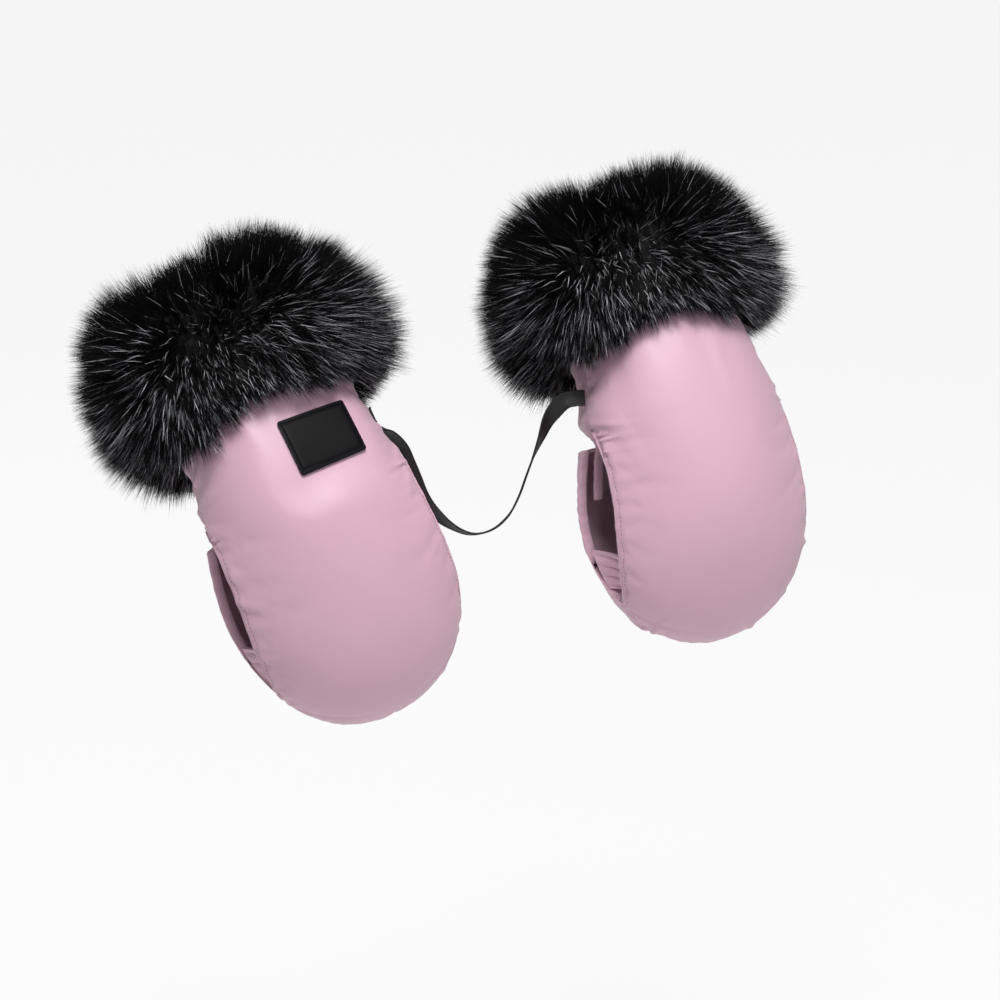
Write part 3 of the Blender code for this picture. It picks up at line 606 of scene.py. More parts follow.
def patch_press(across, along):
    """How far the stiff patch draws the cloth from its curve: out at its sides and in at its middle."""
    ends = np.array([-1.0, 0.0, 1.0]) * PATCH_WIDTH / 2 + PATCH_OFF_CENTRE
    row = (np.full(3, PATCH_ABOVE_BAR), np.zeros(3))
    low, middle, high = body_place("front", front_turn(ends, row[0], 0.0), row, 0.0)[2]
    share = np.clip(np.abs(across - PATCH_OFF_CENTRE) / (PATCH_WIDTH / 2), 0, 1) ** 2
    stiff = settings("trim").stiffness * (middle - (low + high) / 2)
    return stiff * (share - 0.45) * (1 - smooth_step(beyond_patch(across, along), 0, PATCH_PRESS_REACH))


def front_turn(across, along, inset):
    """Where on the front's half round a place that far across lies."""
    rise = smooth_step(along, -WIDEST_BELOW_BAR, CUFF_SEAM)
    width = blend(WIDEST_HALF_WIDTH, CUFF_HALF_WIDTH, rise) - inset
    return np.sign(across) * np.arcsin((np.abs(across) / width) ** (POWERS["front"] / 2))


def padding_at(row, thickest):
    share = smooth_step(row[0], CUFF_SEAM - CUFF_TAPER, CUFF_SEAM)
    return blend(thickest, CUFF_PADDING, share)


def step_share(row):
    return 1 - smooth_step(row[0], TAIL_STEP_FOOT, TAIL_STEP_TOP)


PANELS = {
    "front": {
        "face": "front",
        "rows": rows_between("along", CUFF_SEAM, -WIDEST_BELOW_BAR, 74)
        + rows_between("tip", 0.0, math.pi / 2, 60)[1:],
        "start": lambda row: 0.0 * row[0],
        "padding": lambda row: padding_at(row, BODY_PADDING),
        "looseness": 1.0,
        "satin_inside": False,
    },
    "back": {
        "face": "back",
        "rows": rows_between("along", CUFF_SEAM, TAIL_END, 70),
        "start": lambda row: TAIL_INSET * step_share(row),
        "padding": lambda row: blend(padding_at(row, BODY_PADDING), FLAP_PADDING, step_share(row)),
        "looseness": 0.6,
        "satin_inside": True,
    },
    "lower_back": {
        "face": "back",
        "rows": rows_between("tip", FLAP_FOLD_TURN + math.radians(0.3), math.pi / 2, 50),
        "start": lambda row: 0.0 * row[0],
        "padding": lambda row: blend(
            FLAP_PADDING, BODY_PADDING, smooth_step(row[1], FLAP_FOLD_TURN, 2 * FLAP_FOLD_TURN)
        ),
        "looseness": 0.9,
        "satin_inside": False,
    },
    "flap": {
        "face": "back",
        "rows": rows_between("along", FLAP_TOP, -WIDEST_BELOW_BAR, 34)
        + rows_between("tip", 0.0, FLAP_FOLD_TURN, 22)[1:],
        "start": lambda row: 0.0 * row[0],
        "padding": lambda row: FLAP_PADDING + 0.0 * row[0],
        "looseness": 0.5,
        "satin_inside": True,
    },
}
PANEL_COLUMNS = 84

# The cloth simulation of a panel's shell
SIMULATION_SCALE = 10
SIMULATION_FRAMES = 24
SIMULATION_SEEDS = {"left": 31, "right": 47}
SHEET_RIPPLE = 0.15 * MM
SHEET_STIFFNESS = {"tension_stiffness": 40, "compression_stiffness": 40, "shear_stiffness": 13}
DEEPEST_DIP = -2.5 * MM
HIGHEST_SWELL = 6 * MM
SWELL_SHARE = 0.8
EVENING_ROUNDS = 60
PUCKER_REACH = 19 * MM


def finer(values, axis):
    """Twice the cells along one axis of a grid of values, on smooth curves through them."""
    values = np.moveaxis(values, axis, 0)
    padded = np.concatenate([2 * values[:1] - values[1:2], values, 2 * values[-1:] - values[-2:-1]])
    between = (9 * (padded[1:-2] + padded[2:-1]) - padded[:-3] - padded[3:]) / 16
    result = np.empty((2 * len(values) - 1,) + values.shape[1:])
    result[::2] = values
    result[1::2] = between
    return np.moveaxis(result, 0, axis)


def softened(values, times):
    """A grid of values averaged with its neighbours many times over."""
    for _ in range(times):
        wide = np.pad(values, 1, mode="edge")
        values = (wide[:-2, 1:-1] + wide[2:, 1:-1] + wide[1:-1, :-2] + wide[1:-1, 2:] + 2 * values) / 6
    return values


def simulated_rise(side, panel, points, way):
    """How far pressure and loose cloth push a sewn-down sheet out from its even form, by simulation.

    The sheet is a little larger than the form, is held all round its edge and is blown out, so that it
    gathers where the seams hold it.
    """
    cloth = settings("cloth")
    start, outward = points[::2, ::2], way[::2, ::2]
    generator = np.random.default_rng(SIMULATION_SEEDS[side] + len(panel))
    ripple = generator.normal(0, SHEET_RIPPLE, start.shape[:2])
    start = (start + outward * ripple[..., None]) * SIMULATION_SCALE
    sheet, line, column = new_sheet("sheet", start)
    held = (column % (start.shape[1] - 1) == 0) | (line % (start.shape[0] - 1) == 0)
    sewn = sheet.vertex_groups.new(name="sewn")
    sewn.add([int(number) for number in np.flatnonzero(held)], 1.0, "REPLACE")
    facing = np.mean([tuple(face.normal) for face in sheet.data.polygons], axis=0)
    select_only(sheet)
    bpy.ops.object.modifier_add(type="CLOTH")
    cover = sheet.modifiers[-1]
    for name, stiffness in SHEET_STIFFNESS.items():
        setattr(cover.settings, name, stiffness)
    cover.settings.quality = 6
    cover.settings.mass = 0.3
    cover.settings.bending_stiffness = 0.05
    cover.settings.vertex_group_mass = "sewn"
    cover.settings.shrink_min = -cloth.looseness
    cover.settings.use_pressure = True
    outwards = facing @ outward.mean(axis=(0, 1))
    cover.settings.uniform_pressure_force = math.copysign(cloth.pressure, outwards)
    cover.settings.effector_weights.gravity = 0.0
    cover.collision_settings.use_collision = False
    cover.point_cache.frame_end = SIMULATION_FRAMES
    for number in range(1, SIMULATION_FRAMES + 1):
        bpy.context.scene.frame_set(number)
    bpy.ops.object.modifier_apply(modifier=cover.name)
    moved = (points_of(sheet) - start[line, column]) / SIMULATION_SCALE
    rise = np.zeros(start.shape[:2])
    rise[line, column] = np.sum(moved * outward[line, column], axis=1)
    bpy.data.objects.remove(sheet)
    bpy.context.scene.frame_set(1)
    rise = np.clip(rise, DEEPEST_DIP, HIGHEST_SWELL)
    return finer(finer(rise, 0), 1)


@functools.lru_cache(maxsize=None)
def panel_surfaces(side, panel):
    """A panel's surface with its relief by inset, and with it its padding, edge gaps and places."""
    facts = PANELS[panel]
    face = facts["face"]
    along, tip = np.array(facts["rows"]).T[:, :, None]
    row = (along, tip)
    start = facts["start"](row)
    shares = np.linspace(-1, 1, PANEL_COLUMNS + 1)[None, :]

    def even_surface(inset):
        inset = start + inset
        return body_place(face, shares * edge_turn(face, row, inset), row, inset)

    across, far, out = even_surface(0.0)
    edge_gap = np.hypot(np.abs(across[:, -1:]) - np.abs(across), np.abs(out) - np.abs(out[:, -1:]))
    if panel != "flap":
        tip_gap = np.where(tip > 0, np.hypot(far - far[-1:, :], out - out[-1:, :]), FAR_OFF)
        edge_gap = np.minimum(edge_gap, tip_gap)
    outside = place(across, far, out)
    way = unit(outside - place(*even_surface(1 * MM)))
    rise = relief(side, panel, across, far, edge_gap)
    swell = simulated_rise(side, panel, outside, way)
    even = softened(swell, EVENING_ROUNDS)
    swell = even + (swell - even) * np.exp(-edge_gap / PUCKER_REACH)
    rise = rise + SWELL_SHARE * facts["looseness"] * swell * calm_places(side, panel, across, far)

    def surface(inset):
        return to_world(side, place(*even_surface(inset)) + way * rise[..., None])

    return surface, facts["padding"](row), edge_gap, (across, far, out)


def lining_surface(side, panel):
    """The innermost surface of a panel, the lining's inner side."""
    surface, padding, _, _ = panel_surfaces(side, panel)
    return surface(SHELL + 2 * LAYER_GAP + padding + LINING)


def turned_in(outside, inside, lining_line):
    """A shell with its first edge turned in over the padding, as far as the lining's line."""
    below = unit(outside[1] - outside[0]) * SHELL
    shares = np.array([1.0, 0.75, 0.5, 0.25])[:, None, None]
    lip = outside[0] + (lining_line - outside[0]) * shares
    inside = np.concatenate([lip + below, inside[:1] + below, inside[1:]])
    return np.concatenate([lip, outside]), inside


def panel_layer(side, panel, layer, material, slot):
    """One layer of a panel: a grid laid on the muff's form, then given its wall."""
    surface, padding, _, _ = panel_surfaces(side, panel)
    below_shell = SHELL + LAYER_GAP
    below_padding = below_shell + padding + LAYER_GAP
    outer, inner, step, below_lip = {
        "shell": (0.0, SHELL, 1, 0),
        "padding": (below_shell, below_shell + padding, 1, 3),
        "lining": (below_padding, below_padding + LINING, 2, 1),
    }[layer]
    outside = surface(outer)[::step, ::step]
    inside = surface(inner)[::step, ::step]
    if panel == "lower_back":
        outside, inside = outside[below_lip:], inside[below_lip:]
        if layer == "shell":
            outside, inside = turned_in(outside, inside, lining_surface(side, panel)[0])
    made = walled_sheet(f"{side}_{panel}_{layer}_cloth", outside, inside)
    body = f"{side}_flap" if panel == "flap" else "muffs"
    return finish_piece(made, body, slot, material, [f"{side}_{panel}_{layer}"])


def close_wall(thing, inner_points):
    """Gives an open grid its wall: the faces are extruded and the new points put on the inner surface."""
    shape = bmesh.new()
    shape.from_mesh(thing.data)
    number = shape.verts.layers.int.new("number")
    for vert in shape.verts:
        vert[number] = vert.index
    outside = set(shape.verts)
    bmesh.ops.extrude_face_region(shape, geom=shape.faces[:], use_keep_orig=True)
    for vert in shape.verts:
        if vert not in outside:
            vert.co = inner_points[vert[number]]
    shape.verts.layers.int.remove(number)
    shape.to_mesh(thing.data)
    shape.free()
    face_outwards(thing)


def around_place(around, along, inset):
    """Points on the body's section, all round it from the middle of the front, in the muff's frame."""
    around, along, inset = np.broadcast_arrays(around, along, inset)
    turn = np.arcsin(np.clip(np.sin(around), -1.0, 1.0))
    row = (along, 0.0 * along)
    front_across, _, front_out = body_place("front", turn, row, inset)
    back_across, _, back_out = body_place("back", turn, row, inset)
    in_front = np.cos(around) >= 0
    across = np.where(in_front, front_across, back_across)
    out = np.where(in_front, front_out - SEAM_GAP / 2, back_out + SEAM_GAP / 2)
    return place(across, along, out)


def ring_piece(name, sections, rows, points_at):
    """A closed ring round a muff, begun as a torus, from places for angles and rows of its wall."""
    made = new_primitive(
        name, bpy.ops.mesh.primitive_torus_add, major_segments=sections, minor_segments=rows,
        major_radius=1.0, minor_radius=0.25,
    )
    points = points_of(made)
    around = np.arctan2(points[:, 1], points[:, 0])
    wall = np.arctan2(points[:, 2], np.hypot(points[:, 0], points[:, 1]) - 1.0) % math.tau
    row = np.rint(wall / math.tau * rows).astype(int) % rows
    set_points(made, points_at(around, row))
    face_outwards(made)
    return made


TUBE_LEVELS = 24
TUBE_SECTIONS = 160
UNDER_FUR_MIDDLE = 131 * MM
UNDER_FUR_HALF_HEIGHT = 33 * MM
UNDER_FUR_HALF_DEPTH = 10 * MM
UNDER_FUR_ROWS = 28
UNDER_FUR_SECTIONS = 200
UNDER_FUR_SEEDS = {"left": 5, "right": 6}


def cuff_tube(side, name, outer_inset, thickness, material):
    """A cloth tube inside the cuff."""
    along = np.linspace(CUFF_SEAM + SEAM_GAP, CUFF_END, TUBE_LEVELS)
    loop_along = np.concatenate([along, along[::-1]])
    loop_inset = outer_inset + np.repeat([0.0, thickness], TUBE_LEVELS)

    def points_at(around, row):
        return to_world(side, around_place(around, loop_along[row], loop_inset[row]))

    made = ring_piece(f"{side}_{name}_cloth", TUBE_SECTIONS, 2 * TUBE_LEVELS, points_at)
    return finish_piece(made, "muffs", "cuff_cloth", material, [f"{side}_{name}"])


def under_fur(side, material):
    """The short dense pile at the strands' roots, a lumpy ring that the strands stand up from."""
    bumps = np.random.default_rng(UNDER_FUR_SEEDS[side]).random((UNDER_FUR_SECTIONS, UNDER_FUR_ROWS))

    def points_at(around, row):
        angle = math.tau * (row + 0.5) / UNDER_FUR_ROWS
        along = UNDER_FUR_MIDDLE + UNDER_FUR_HALF_HEIGHT * np.cos(angle)
        section = np.rint(around / math.tau * (UNDER_FUR_SECTIONS - 1)).astype(int) % UNDER_FUR_SECTIONS
        lump = bumps[section, row]
        off = FUR_BASE + UNDER_FUR_HALF_DEPTH * (1 + np.sin(angle)) * (0.8 + 0.4 * lump)
        off = np.where(np.sin(angle) < -0.5, FUR_BASE, off)
        return to_world(side, around_place(around, along, -off))

    made = ring_piece(f"{side}_under_fur", UNDER_FUR_SECTIONS, UNDER_FUR_ROWS, points_at)
    return finish_piece(made, "muffs", "fur", material, [f"{side}_fur_cuff"])


# The pile's strands: seeds, tufts, how they are combed, bent, shortened and frosted
FUR_SEEDS = {"left": 100, "right": 200}
TUFT_SIZE = 34
STRAND_SCATTER = 0.10
TUFT_SCATTER = 0.20
LEAST_OUTWARD = 0.4
COMB_AT_SIDE = (-0.72, 0.95)
COMB_IN_FRONT = (-1.08, 0.95)
GUARD_SHARE = 0.012
GUARD_LENGTH = 1.06
STRAND_STATIONS = 4
STRAND_CORNERS = 2 * STRAND_STATIONS - 1
STRAND_TAPER = (1.0, 0.9, 0.6)
STRAND_MAP = "OFBake"
ROOT_DEPTH = 0.3 * MM


def strand_roots(count, generator):
    """Roots of the strands: places on the cuff, the ways out of it and up it, and how far up it each is."""
    around = generator.random(count) * math.tau
    rise = generator.random(count)
    along = blend(CUFF_SEAM + 1 * MM, CUFF_END - 1 * MM, rise)
    root = around_place(around, along, 0.0)
    beside = around_place(around + 0.02, along, 0.0)
    up = unit(around_place(around, along + 1 * MM, 0.0) - root)
    off = unit(np.cross(beside - root, up))
    centre = place(0.0 * along, along, 0.0 * along)
    off *= np.sign(np.sum(off * (root - centre), axis=1, keepdims=True))
    return around, rise, root, off, up


def combed_ways(number, around, rise, facing, off, up):
    """The way that each strand stands: down at the cuff's foot and up at its top, most so in front."""
    side_comb = blend(*COMB_AT_SIDE, rise)
    side_comb = np.where(side_comb < 0, 0.6 * side_comb, side_comb)
    front_comb = blend(*COMB_IN_FRONT, smooth_step(rise, 0.22, 1.0))
    comb = blend(side_comb, front_comb, facing)
    wave = 0.14 * np.sin(3 * around + number) + 0.10 * np.sin(7 * around + 2.1)
    return off * (1.0 - 0.25 * np.abs(comb))[:, None] + up * (comb + wave)[:, None]


def strand_lengths(around, rise, facing, generator):
    """Lengths of the strands: longer at the sides, shorter at the cuff's foot and round the mouth."""
    fur = settings("fur")
    count = len(rise)
    length = fur.length * (0.70 + 0.34 * generator.random(count)) * (0.95 + 0.08 * np.sin(5 * around))
    length *= 1.0 + fur.side_growth * np.sin(around) ** 2
    length *= blend(blend(0.48, 0.76, facing), 1.0, smooth_step(rise, 0.0, 0.42))
    length *= blend(1.0, 0.86, smooth_step(rise, 0.6, 1.0))
    guard = generator.random(count) < GUARD_SHARE
    return np.where(guard, length * GUARD_LENGTH, length), guard


def sagging_lines(start, way, length, down, generator):
    """Centre lines of the strands, which sag and stray more towards their tips."""
    stations = [start]
    heading = way.copy()
    for step in range(STRAND_STATIONS - 1):
        heading = heading + down * (0.05 + 0.06 * step) + generator.normal(0, 0.035, way.shape)
        heading = unit(heading)
        stations.append(stations[-1] + heading * (length / (STRAND_STATIONS - 1))[:, None])
    return np.stack(stations, axis=1)


def nearest_of(spots, roots):
    """The number of the spot nearest to each root."""
    tree = KDTree(len(spots))
    for index, spot in enumerate(spots):
        tree.insert(spot, index)
    tree.balance()
    return np.array([tree.find(root)[1] for root in roots])


def fur_piece(side, number, material):
    """A third of a cuff's pile: flat tapered strands, drawn together in tufts."""
    fur = settings("fur")
    generator = np.random.default_rng(FUR_SEEDS[side] + number)
    count = fur.strands
    around, rise, root, off, up = strand_roots(count, generator)
    facing = smooth_step(np.cos(around), -0.1, 0.7)
    way = combed_ways(number, around, rise, facing, off, up)
    way += generator.normal(0, STRAND_SCATTER, (count, 3))
    tufts = count // TUFT_SIZE
    tuft_lean = generator.normal(0, TUFT_SCATTER, (tufts, 3))
    nearest = nearest_of(root[:tufts], root)
    way += tuft_lean[nearest]
    way += off * np.maximum(LEAST_OUTWARD - np.sum(way * off, axis=1), 0)[:, None]
    length, guard = strand_lengths(around, rise, facing, generator)
    roll = MUFF_ROLLS[side]
    down = np.array([-math.sin(roll), 0.0, -math.cos(roll)])
    line = sagging_lines(root - off * ROOT_DEPTH, unit(way), length, down, generator)
    pull = 0.72 * np.linspace(0, 1, STRAND_STATIONS) ** 1.5
    line = line + (line[nearest] - line) * (pull[None, :, None] * generator.random(count)[:, None, None])
    flat = unit(np.cross(line[:, -1] - line[:, 0], off + generator.normal(0, 0.5, (count, 3))))
    frost = strand_frost(around, rise, guard, generator.random(tufts)[nearest], generator)
    half = fur.width / 2 * (0.7 + 0.6 * generator.random(count)) * np.where(frost > 0.4, 1.6, 1.0)
    corners = []
    for station, taper in enumerate(STRAND_TAPER):
        offset = flat * (half * taper)[:, None]
        corners += [line[:, station] - offset, line[:, station] + offset]
    corners.append(line[:, -1])
    points = to_world(side, np.stack(corners, axis=1).reshape(-1, 3))
    return strand_mesh(f"{side}_fur_{number}", points, count, frost, material)


def strand_frost(around, rise, guard, tuft_share, generator):
    """How frosted each strand is: many below the middle, tuft by tuft, few round the mouth."""
    lower = 1 - smooth_step(rise, 0.35, 0.75)
    shade = generator.random(len(rise))
    right_hand = smooth_step(np.sin(around), 0.2, 0.9)
    chance = lower * (0.035 + 0.16 * tuft_share**2 + 0.05 * right_hand)
    bright = 0.55 + 0.45 * generator.random(len(rise))
    frost = np.where(shade < chance, bright, np.where(shade < 2 * chance, 0.1, 0.0))
    return np.where(guard, 0.9, frost)


def strand_mesh(name, points, count, frost, material):
    """One mesh of all the strands, two four-sided faces and a tip each, mapped by frost and by rise."""
    base = np.arange(count)[:, None] * STRAND_CORNERS
    faces = [base + np.array(face) for face in ((0, 1, 3, 2), (2, 3, 5, 4), (4, 5, 6))]
    corners = np.concatenate(faces, axis=1).ravel()
    sizes = np.tile([4, 4, 3], count)
    mesh = bpy.data.meshes.new(name)
    mesh.vertices.add(len(points))
    mesh.vertices.foreach_set("co", points.ravel())
    mesh.loops.add(len(corners))
    mesh.loops.foreach_set("vertex_index", corners)
    mesh.polygons.add(len(sizes))
    mesh.polygons.foreach_set("loop_start", np.concatenate([[0], np.cumsum(sizes)[:-1]]))
    mesh.polygons.foreach_set("loop_total", sizes)
    mesh.update(calc_edges=True)
    rise = np.array([0, 0, 1, 1, 2, 2, 3]) / (STRAND_STATIONS - 1)
    sideways = np.array([-1, 1, -1, 1, -1, 1, 0]) * 0.004
    u = 0.01 + 0.98 * frost[:, None] + sideways[None, :]
    v = np.clip(rise + 0.22 * (hashed(np.arange(count), 5) - 0.5)[:, None], 0.0, 1.0)
    pairs = np.stack([u, v], axis=-1).reshape(-1, 2)[corners]
    mesh.uv_layers.new(name=STRAND_MAP).data.foreach_set("uv", np.ascontiguousarray(pairs).ravel())
    made = new_object(name, mesh, material)
    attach(made, "muffs")
    return made


def new_object(name, mesh, material):
    """An object for a mesh that code has made."""
    made = bpy.data.objects.new(name, mesh)
    bpy.context.scene.collection.objects.link(made)
    made.data.materials.append(material)
    return made


def slot_side(face, along, inset):
    """How far across the slot's edge lies, at distances along the spine."""
    upper = np.maximum(along, -WIDEST_BELOW_BAR)
    low = np.zeros_like(along)
    high = np.full_like(along, math.pi / 2)
    for _ in range(HALVINGS):
        middle = (low + high) / 2
        turn = edge_turn(face, (upper, middle), inset)
        above = body_place(face, turn, (upper, middle), inset)[1] > along
        low = np.where(above, middle, low)
        high = np.where(above, high, middle)
    tip = np.where(along < -WIDEST_BELOW_BAR, low, 0.0)
    return body_place(face, edge_turn(face, (upper, tip), inset), (upper, tip), inset)[0]


def gusset_back(along):
    """Where a gusset ends at the back, clear of the lower back's edge and of the flap as it turns."""
    fold_along, fold_out = fold_place()
    reach = GUSSET_FLAP_CLEARANCE - fold_out - slot_depth("back", fold_along)
    height = np.clip(along - fold_along, 0.0, reach)
    arc = np.where(height > 0, fold_out + np.sqrt(reach**2 - height**2), -FAR_OFF)
    return np.maximum(GUSSET_FLAP_CLEARANCE - slot_depth("back", along), arc)


GUSSET_LINES = 69
GUSSET_COLUMNS = 18
PLEAT_SPACING = 6.2 * MM


def gusset(side, name, sign, material):
    """The side piece below the bar, from the front's hem to the lower back, in flat folds across it."""
    cloth = settings("cloth")
    along = np.linspace(GUSSET_FOOT, GUSSET_TOP, GUSSET_LINES + 1)[:, None]
    part = np.linspace(0, 1, GUSSET_COLUMNS + 1)[None, :]
    front_end = slot_depth("front", along) - HEM_SEAT - HEM_THICKNESS - GUSSET_HEM_CLEARANCE
    front_side = slot_side("front", along, WALL / 2)
    back_side = slot_side("back", along, FLAP_THICKNESS / 2)
    middle = 4 * part * (1 - part)
    beat = (along - GUSSET_FOOT) / PLEAT_SPACING + 0.25 * np.sin(2.4 * part + (1 if sign > 0 else 3))
    fold = np.abs(np.sin(math.pi * beat)) ** 0.75 - 0.6
    across = blend(front_side, back_side, part) - GUSSET_SAG * middle + cloth.pleat * fold * np.sqrt(middle)
    out = blend(front_end, gusset_back(along), part)
    outside, inside = (
        to_world(side, place(sign * (across + half), along, out))
        for half in (GUSSET_THICKNESS / 2, -GUSSET_THICKNESS / 2)
    )
    made = walled_sheet(f"{side}_{name}_cloth", outside, inside)
    return finish_piece(made, "muffs", "satin", material, [f"{side}_{name}"])


ROLL_SIDES = 14
ROLL_ENDS = 7
LEAST_SLOT = 1.5 * MM
ROWS_AT_FOLD = 3


def rolled_edge(side, panel, name, path, sizes, material, replaced=()):
    """A soft roll of satin along a panel's edge. The path gives (row, column, row within, column within).

    Of its sizes, the roll's thickness may differ from place to place on the path.
    """
    roll, seat, overhang = sizes
    roll = np.broadcast_to(roll, len(path))
    outer = panel_surfaces(side, panel)[0](0.0)
    inner = lining_surface(side, panel)
    centres = (outer + inner) / 2
    row, column, row_in, column_in = np.array(path).T
    middle = centres[row, column]
    half_wall = (outer - inner)[row, column] / 2
    half = np.linalg.norm(half_wall, axis=1, keepdims=True)
    through = half_wall / half
    off = middle - centres[row_in, column_in]
    off = unit(off - through * np.sum(off * through, axis=1, keepdims=True))
    angle = math.tau * (np.arange(ROLL_SIDES) + 0.5) / ROLL_SIDES
    at_panel = np.sin(angle) < 0
    wide = np.sign(np.cos(angle)) * np.abs(np.cos(angle)) ** np.where(at_panel, 0.5, 0.85)
    thick = np.sign(np.sin(angle)) * np.abs(np.sin(angle)) ** np.where(at_panel, 0.3, 0.9)
    number = np.arange(len(path))
    soft = 0.9 + 0.08 * np.sin(number * 0.55 + len(name)) + 0.07 * np.sin(number * 1.3 + len(panel))
    soft *= np.clip((np.minimum(number, number[::-1]) + 2) / ROLL_ENDS, 0, 1)
    radius = (roll * soft / 2)[:, None]
    rings = middle[:, None] + through[:, None] * ((half + overhang) * wide)[:, :, None]
    rings += off[:, None] * (seat + radius * (1 + thick))[:, :, None]
    made = lofted(f"{side}_{name}_cloth", rings)
    body = f"{side}_flap" if panel == "flap" else "muffs"
    return finish_piece(made, body, "satin", material, replaced)


def slot_hem(side, name, sign, material):
    """The rolled hem of the front panel along one slot."""
    far = panel_surfaces(side, "front")[3][1]
    edge, within = (PANEL_COLUMNS, PANEL_COLUMNS - 3) if sign > 0 else (0, 3)
    depths = slot_depth("front", far[:, edge])
    rows = np.flatnonzero(depths > EDGE_THICKNESS)
    path = [(row, edge, row, within) for row in rows]
    roll = HEM_THICKNESS * np.clip(depths[rows] / (2 * HEM_THICKNESS), 0.3, 1.0)
    return rolled_edge(
        side, "front", name, path, (roll, HEM_SEAT, HEM_OVERHANG), material, [f"{side}_{name}"]
    )


def rows_along_slot(side, panel, least):
    """A back panel's rows where the slot is at least so deep, from the top one down."""
    far = panel_surfaces(side, panel)[3][1]
    return [int(row) for row in np.flatnonzero(slot_depth("back", far[:, 0]) > least)]


def back_edges(side, material):
    """Rolls of satin on the free edges of the flap, of the tail under it and of the lower back."""
    last = PANEL_COLUMNS
    sizes = (EDGE_THICKNESS, EDGE_SEAT, EDGE_OVERHANG)
    rows = range(1, len(PANELS["flap"]["rows"]))
    up = [(row, 0, row, 2) for row in reversed(rows)]
    top = [(0, 0, 2, 2)] + [(0, column, 2, column) for column in range(1, last)] + [(0, last, 2, last - 2)]
    down = [(row, last, row, last - 2) for row in rows]
    rolled_edge(side, "flap", "flap_edge", up + top + down, sizes, material)
    *free, foot = rows_along_slot(side, "back", EDGE_THICKNESS)
    down = [(row, 0, row, 2) for row in free]
    along = [(foot, column, foot - 2, column) for column in range(1, last)]
    along = [(foot, 0, foot - 2, 2)] + along + [(foot, last, foot - 2, last - 2)]
    up = [(row, last, row, last - 2) for row in reversed(free)]
    rolled_edge(side, "back", "tail_edge", down + along + up, sizes, material)
    free = rows_along_slot(side, "lower_back", LEAST_SLOT)[ROWS_AT_FOLD:]
    for label, edge, within in (("first", 0, 2), ("second", last, last - 2)):
        path = [(row, edge, row, within) for row in free]
        rolled_edge(side, "lower_back", f"lower_back_{label}_edge", path, sizes, material)


def lofted(name, rings):
    """A closed tube through rings of points, its ends capped."""
    sides = rings.shape[1]
    made = new_primitive(name, bpy.ops.mesh.primitive_cylinder_add, vertices=sides, end_fill_type="NGON")
    shape = bmesh.new()
    verts = [[shape.verts.new(point) for point in ring] for ring in rings]
    for first, second in zip(verts, verts[1:]):
        for step in range(sides):
            following = (step + 1) % sides
            shape.faces.new((first[step], first[following], second[following], second[step]))
    shape.faces.new(verts[0])
    shape.faces.new(verts[-1])
    shape.to_mesh(made.data)
    shape.free()
    face_outwards(made)
    return made


def smooth_route(points, spacing):
    """Points at an even spacing on a smooth curve through the route's own points, and its length."""
    knots = np.array(points) * MM
    knots = np.vstack([2 * knots[0] - knots[1], knots, 2 * knots[-1] - knots[-2]])
    t = np.linspace(0, 1, 17)[:-1, None]
    line = []
    for before, here, after, beyond in zip(knots, knots[1:], knots[2:], knots[3:]):
        second = 2 * before - 5 * here + 4 * after - beyond
        third = 3 * here - before - 3 * after + beyond
        line.append((2 * here + (after - before) * t + second * t**2 + third * t**3) / 2)
    line = np.vstack(line + [knots[-2:-1]])
    reach = reach_of(line)
    marks = np.linspace(0, reach[-1], round(reach[-1] / spacing) + 1)
    return values_at(marks, reach, line), reach[-1]


STRAP_SPACING = 2.5 * MM
STRAP_HALF_SECTION = (
    (-1, 0.3), (-0.94, 1), (-0.8, 1), (-0.72, 0.6), (0.72, 0.6), (0.8, 1), (0.94, 1), (1, 0.3),
)


def connecting_strap(material):
    """The flat strap between the muffs' inner seams, with raised selvedges."""
    route, length = smooth_route(STRAP_ROUTE, STRAP_SPACING)
    marks, ways = zip(*STRAP_FACINGS)
    facing = values_at(np.linspace(0, 1, len(route)), marks, np.array(ways))
    ahead = unit(np.gradient(route, axis=0))
    thick = unit(facing - ahead * np.sum(facing * ahead, axis=1, keepdims=True))
    wide = np.cross(ahead, thick)
    half, depth = STRAP_WIDTH / 2, STRAP_THICKNESS / 2
    section = [(w, t) for w, t in STRAP_HALF_SECTION] + [(-w, -t) for w, t in STRAP_HALF_SECTION]
    rings = np.stack([route + wide * (w * half) + thick * (t * depth) for w, t in section], axis=1)
    made = lofted("connecting_strap_webbing", rings)
    path = [tuple(point) for point in route]
    finish_piece(made, "muffs", "strap_webbing", material, ["connecting_strap"])
    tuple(path[0])
    return made


def patch_place(x, y, height):
    """World points on the left front panel for x and y on the patch's face and a height off the satin."""
    along = PATCH_ABOVE_BAR + y
    across = PATCH_OFF_CENTRE + x
    inset = -PATCH_SEAT - height - patch_press(across, along)
    turn = front_turn(across, along, inset)
    return to_world("left", place(*body_place("front", turn, (along, 0.0 * along), inset)))


def rounded_ring(width, height, radius):
    """Points round a rectangle with rounded corners, as many on every ring."""
    corners = np.array([(1, 1), (-1, 1), (-1, -1), (1, -1)]) * (width / 2 - radius, height / 2 - radius)
    arcs = []
    for quarter, corner in enumerate(corners):
        angle = (quarter + np.linspace(0, 1, 7)) * math.pi / 2
        arcs.append(corner + radius * np.stack([np.cos(angle), np.sin(angle)], axis=1))
    ring = []
    for arc, following in zip(arcs, arcs[1:] + arcs[:1]):
        run = np.linspace(0, 1, 14)[1:-1, None]
        ring += [arc, blend(arc[-1], following[0], run)]
    return np.vstack(ring)


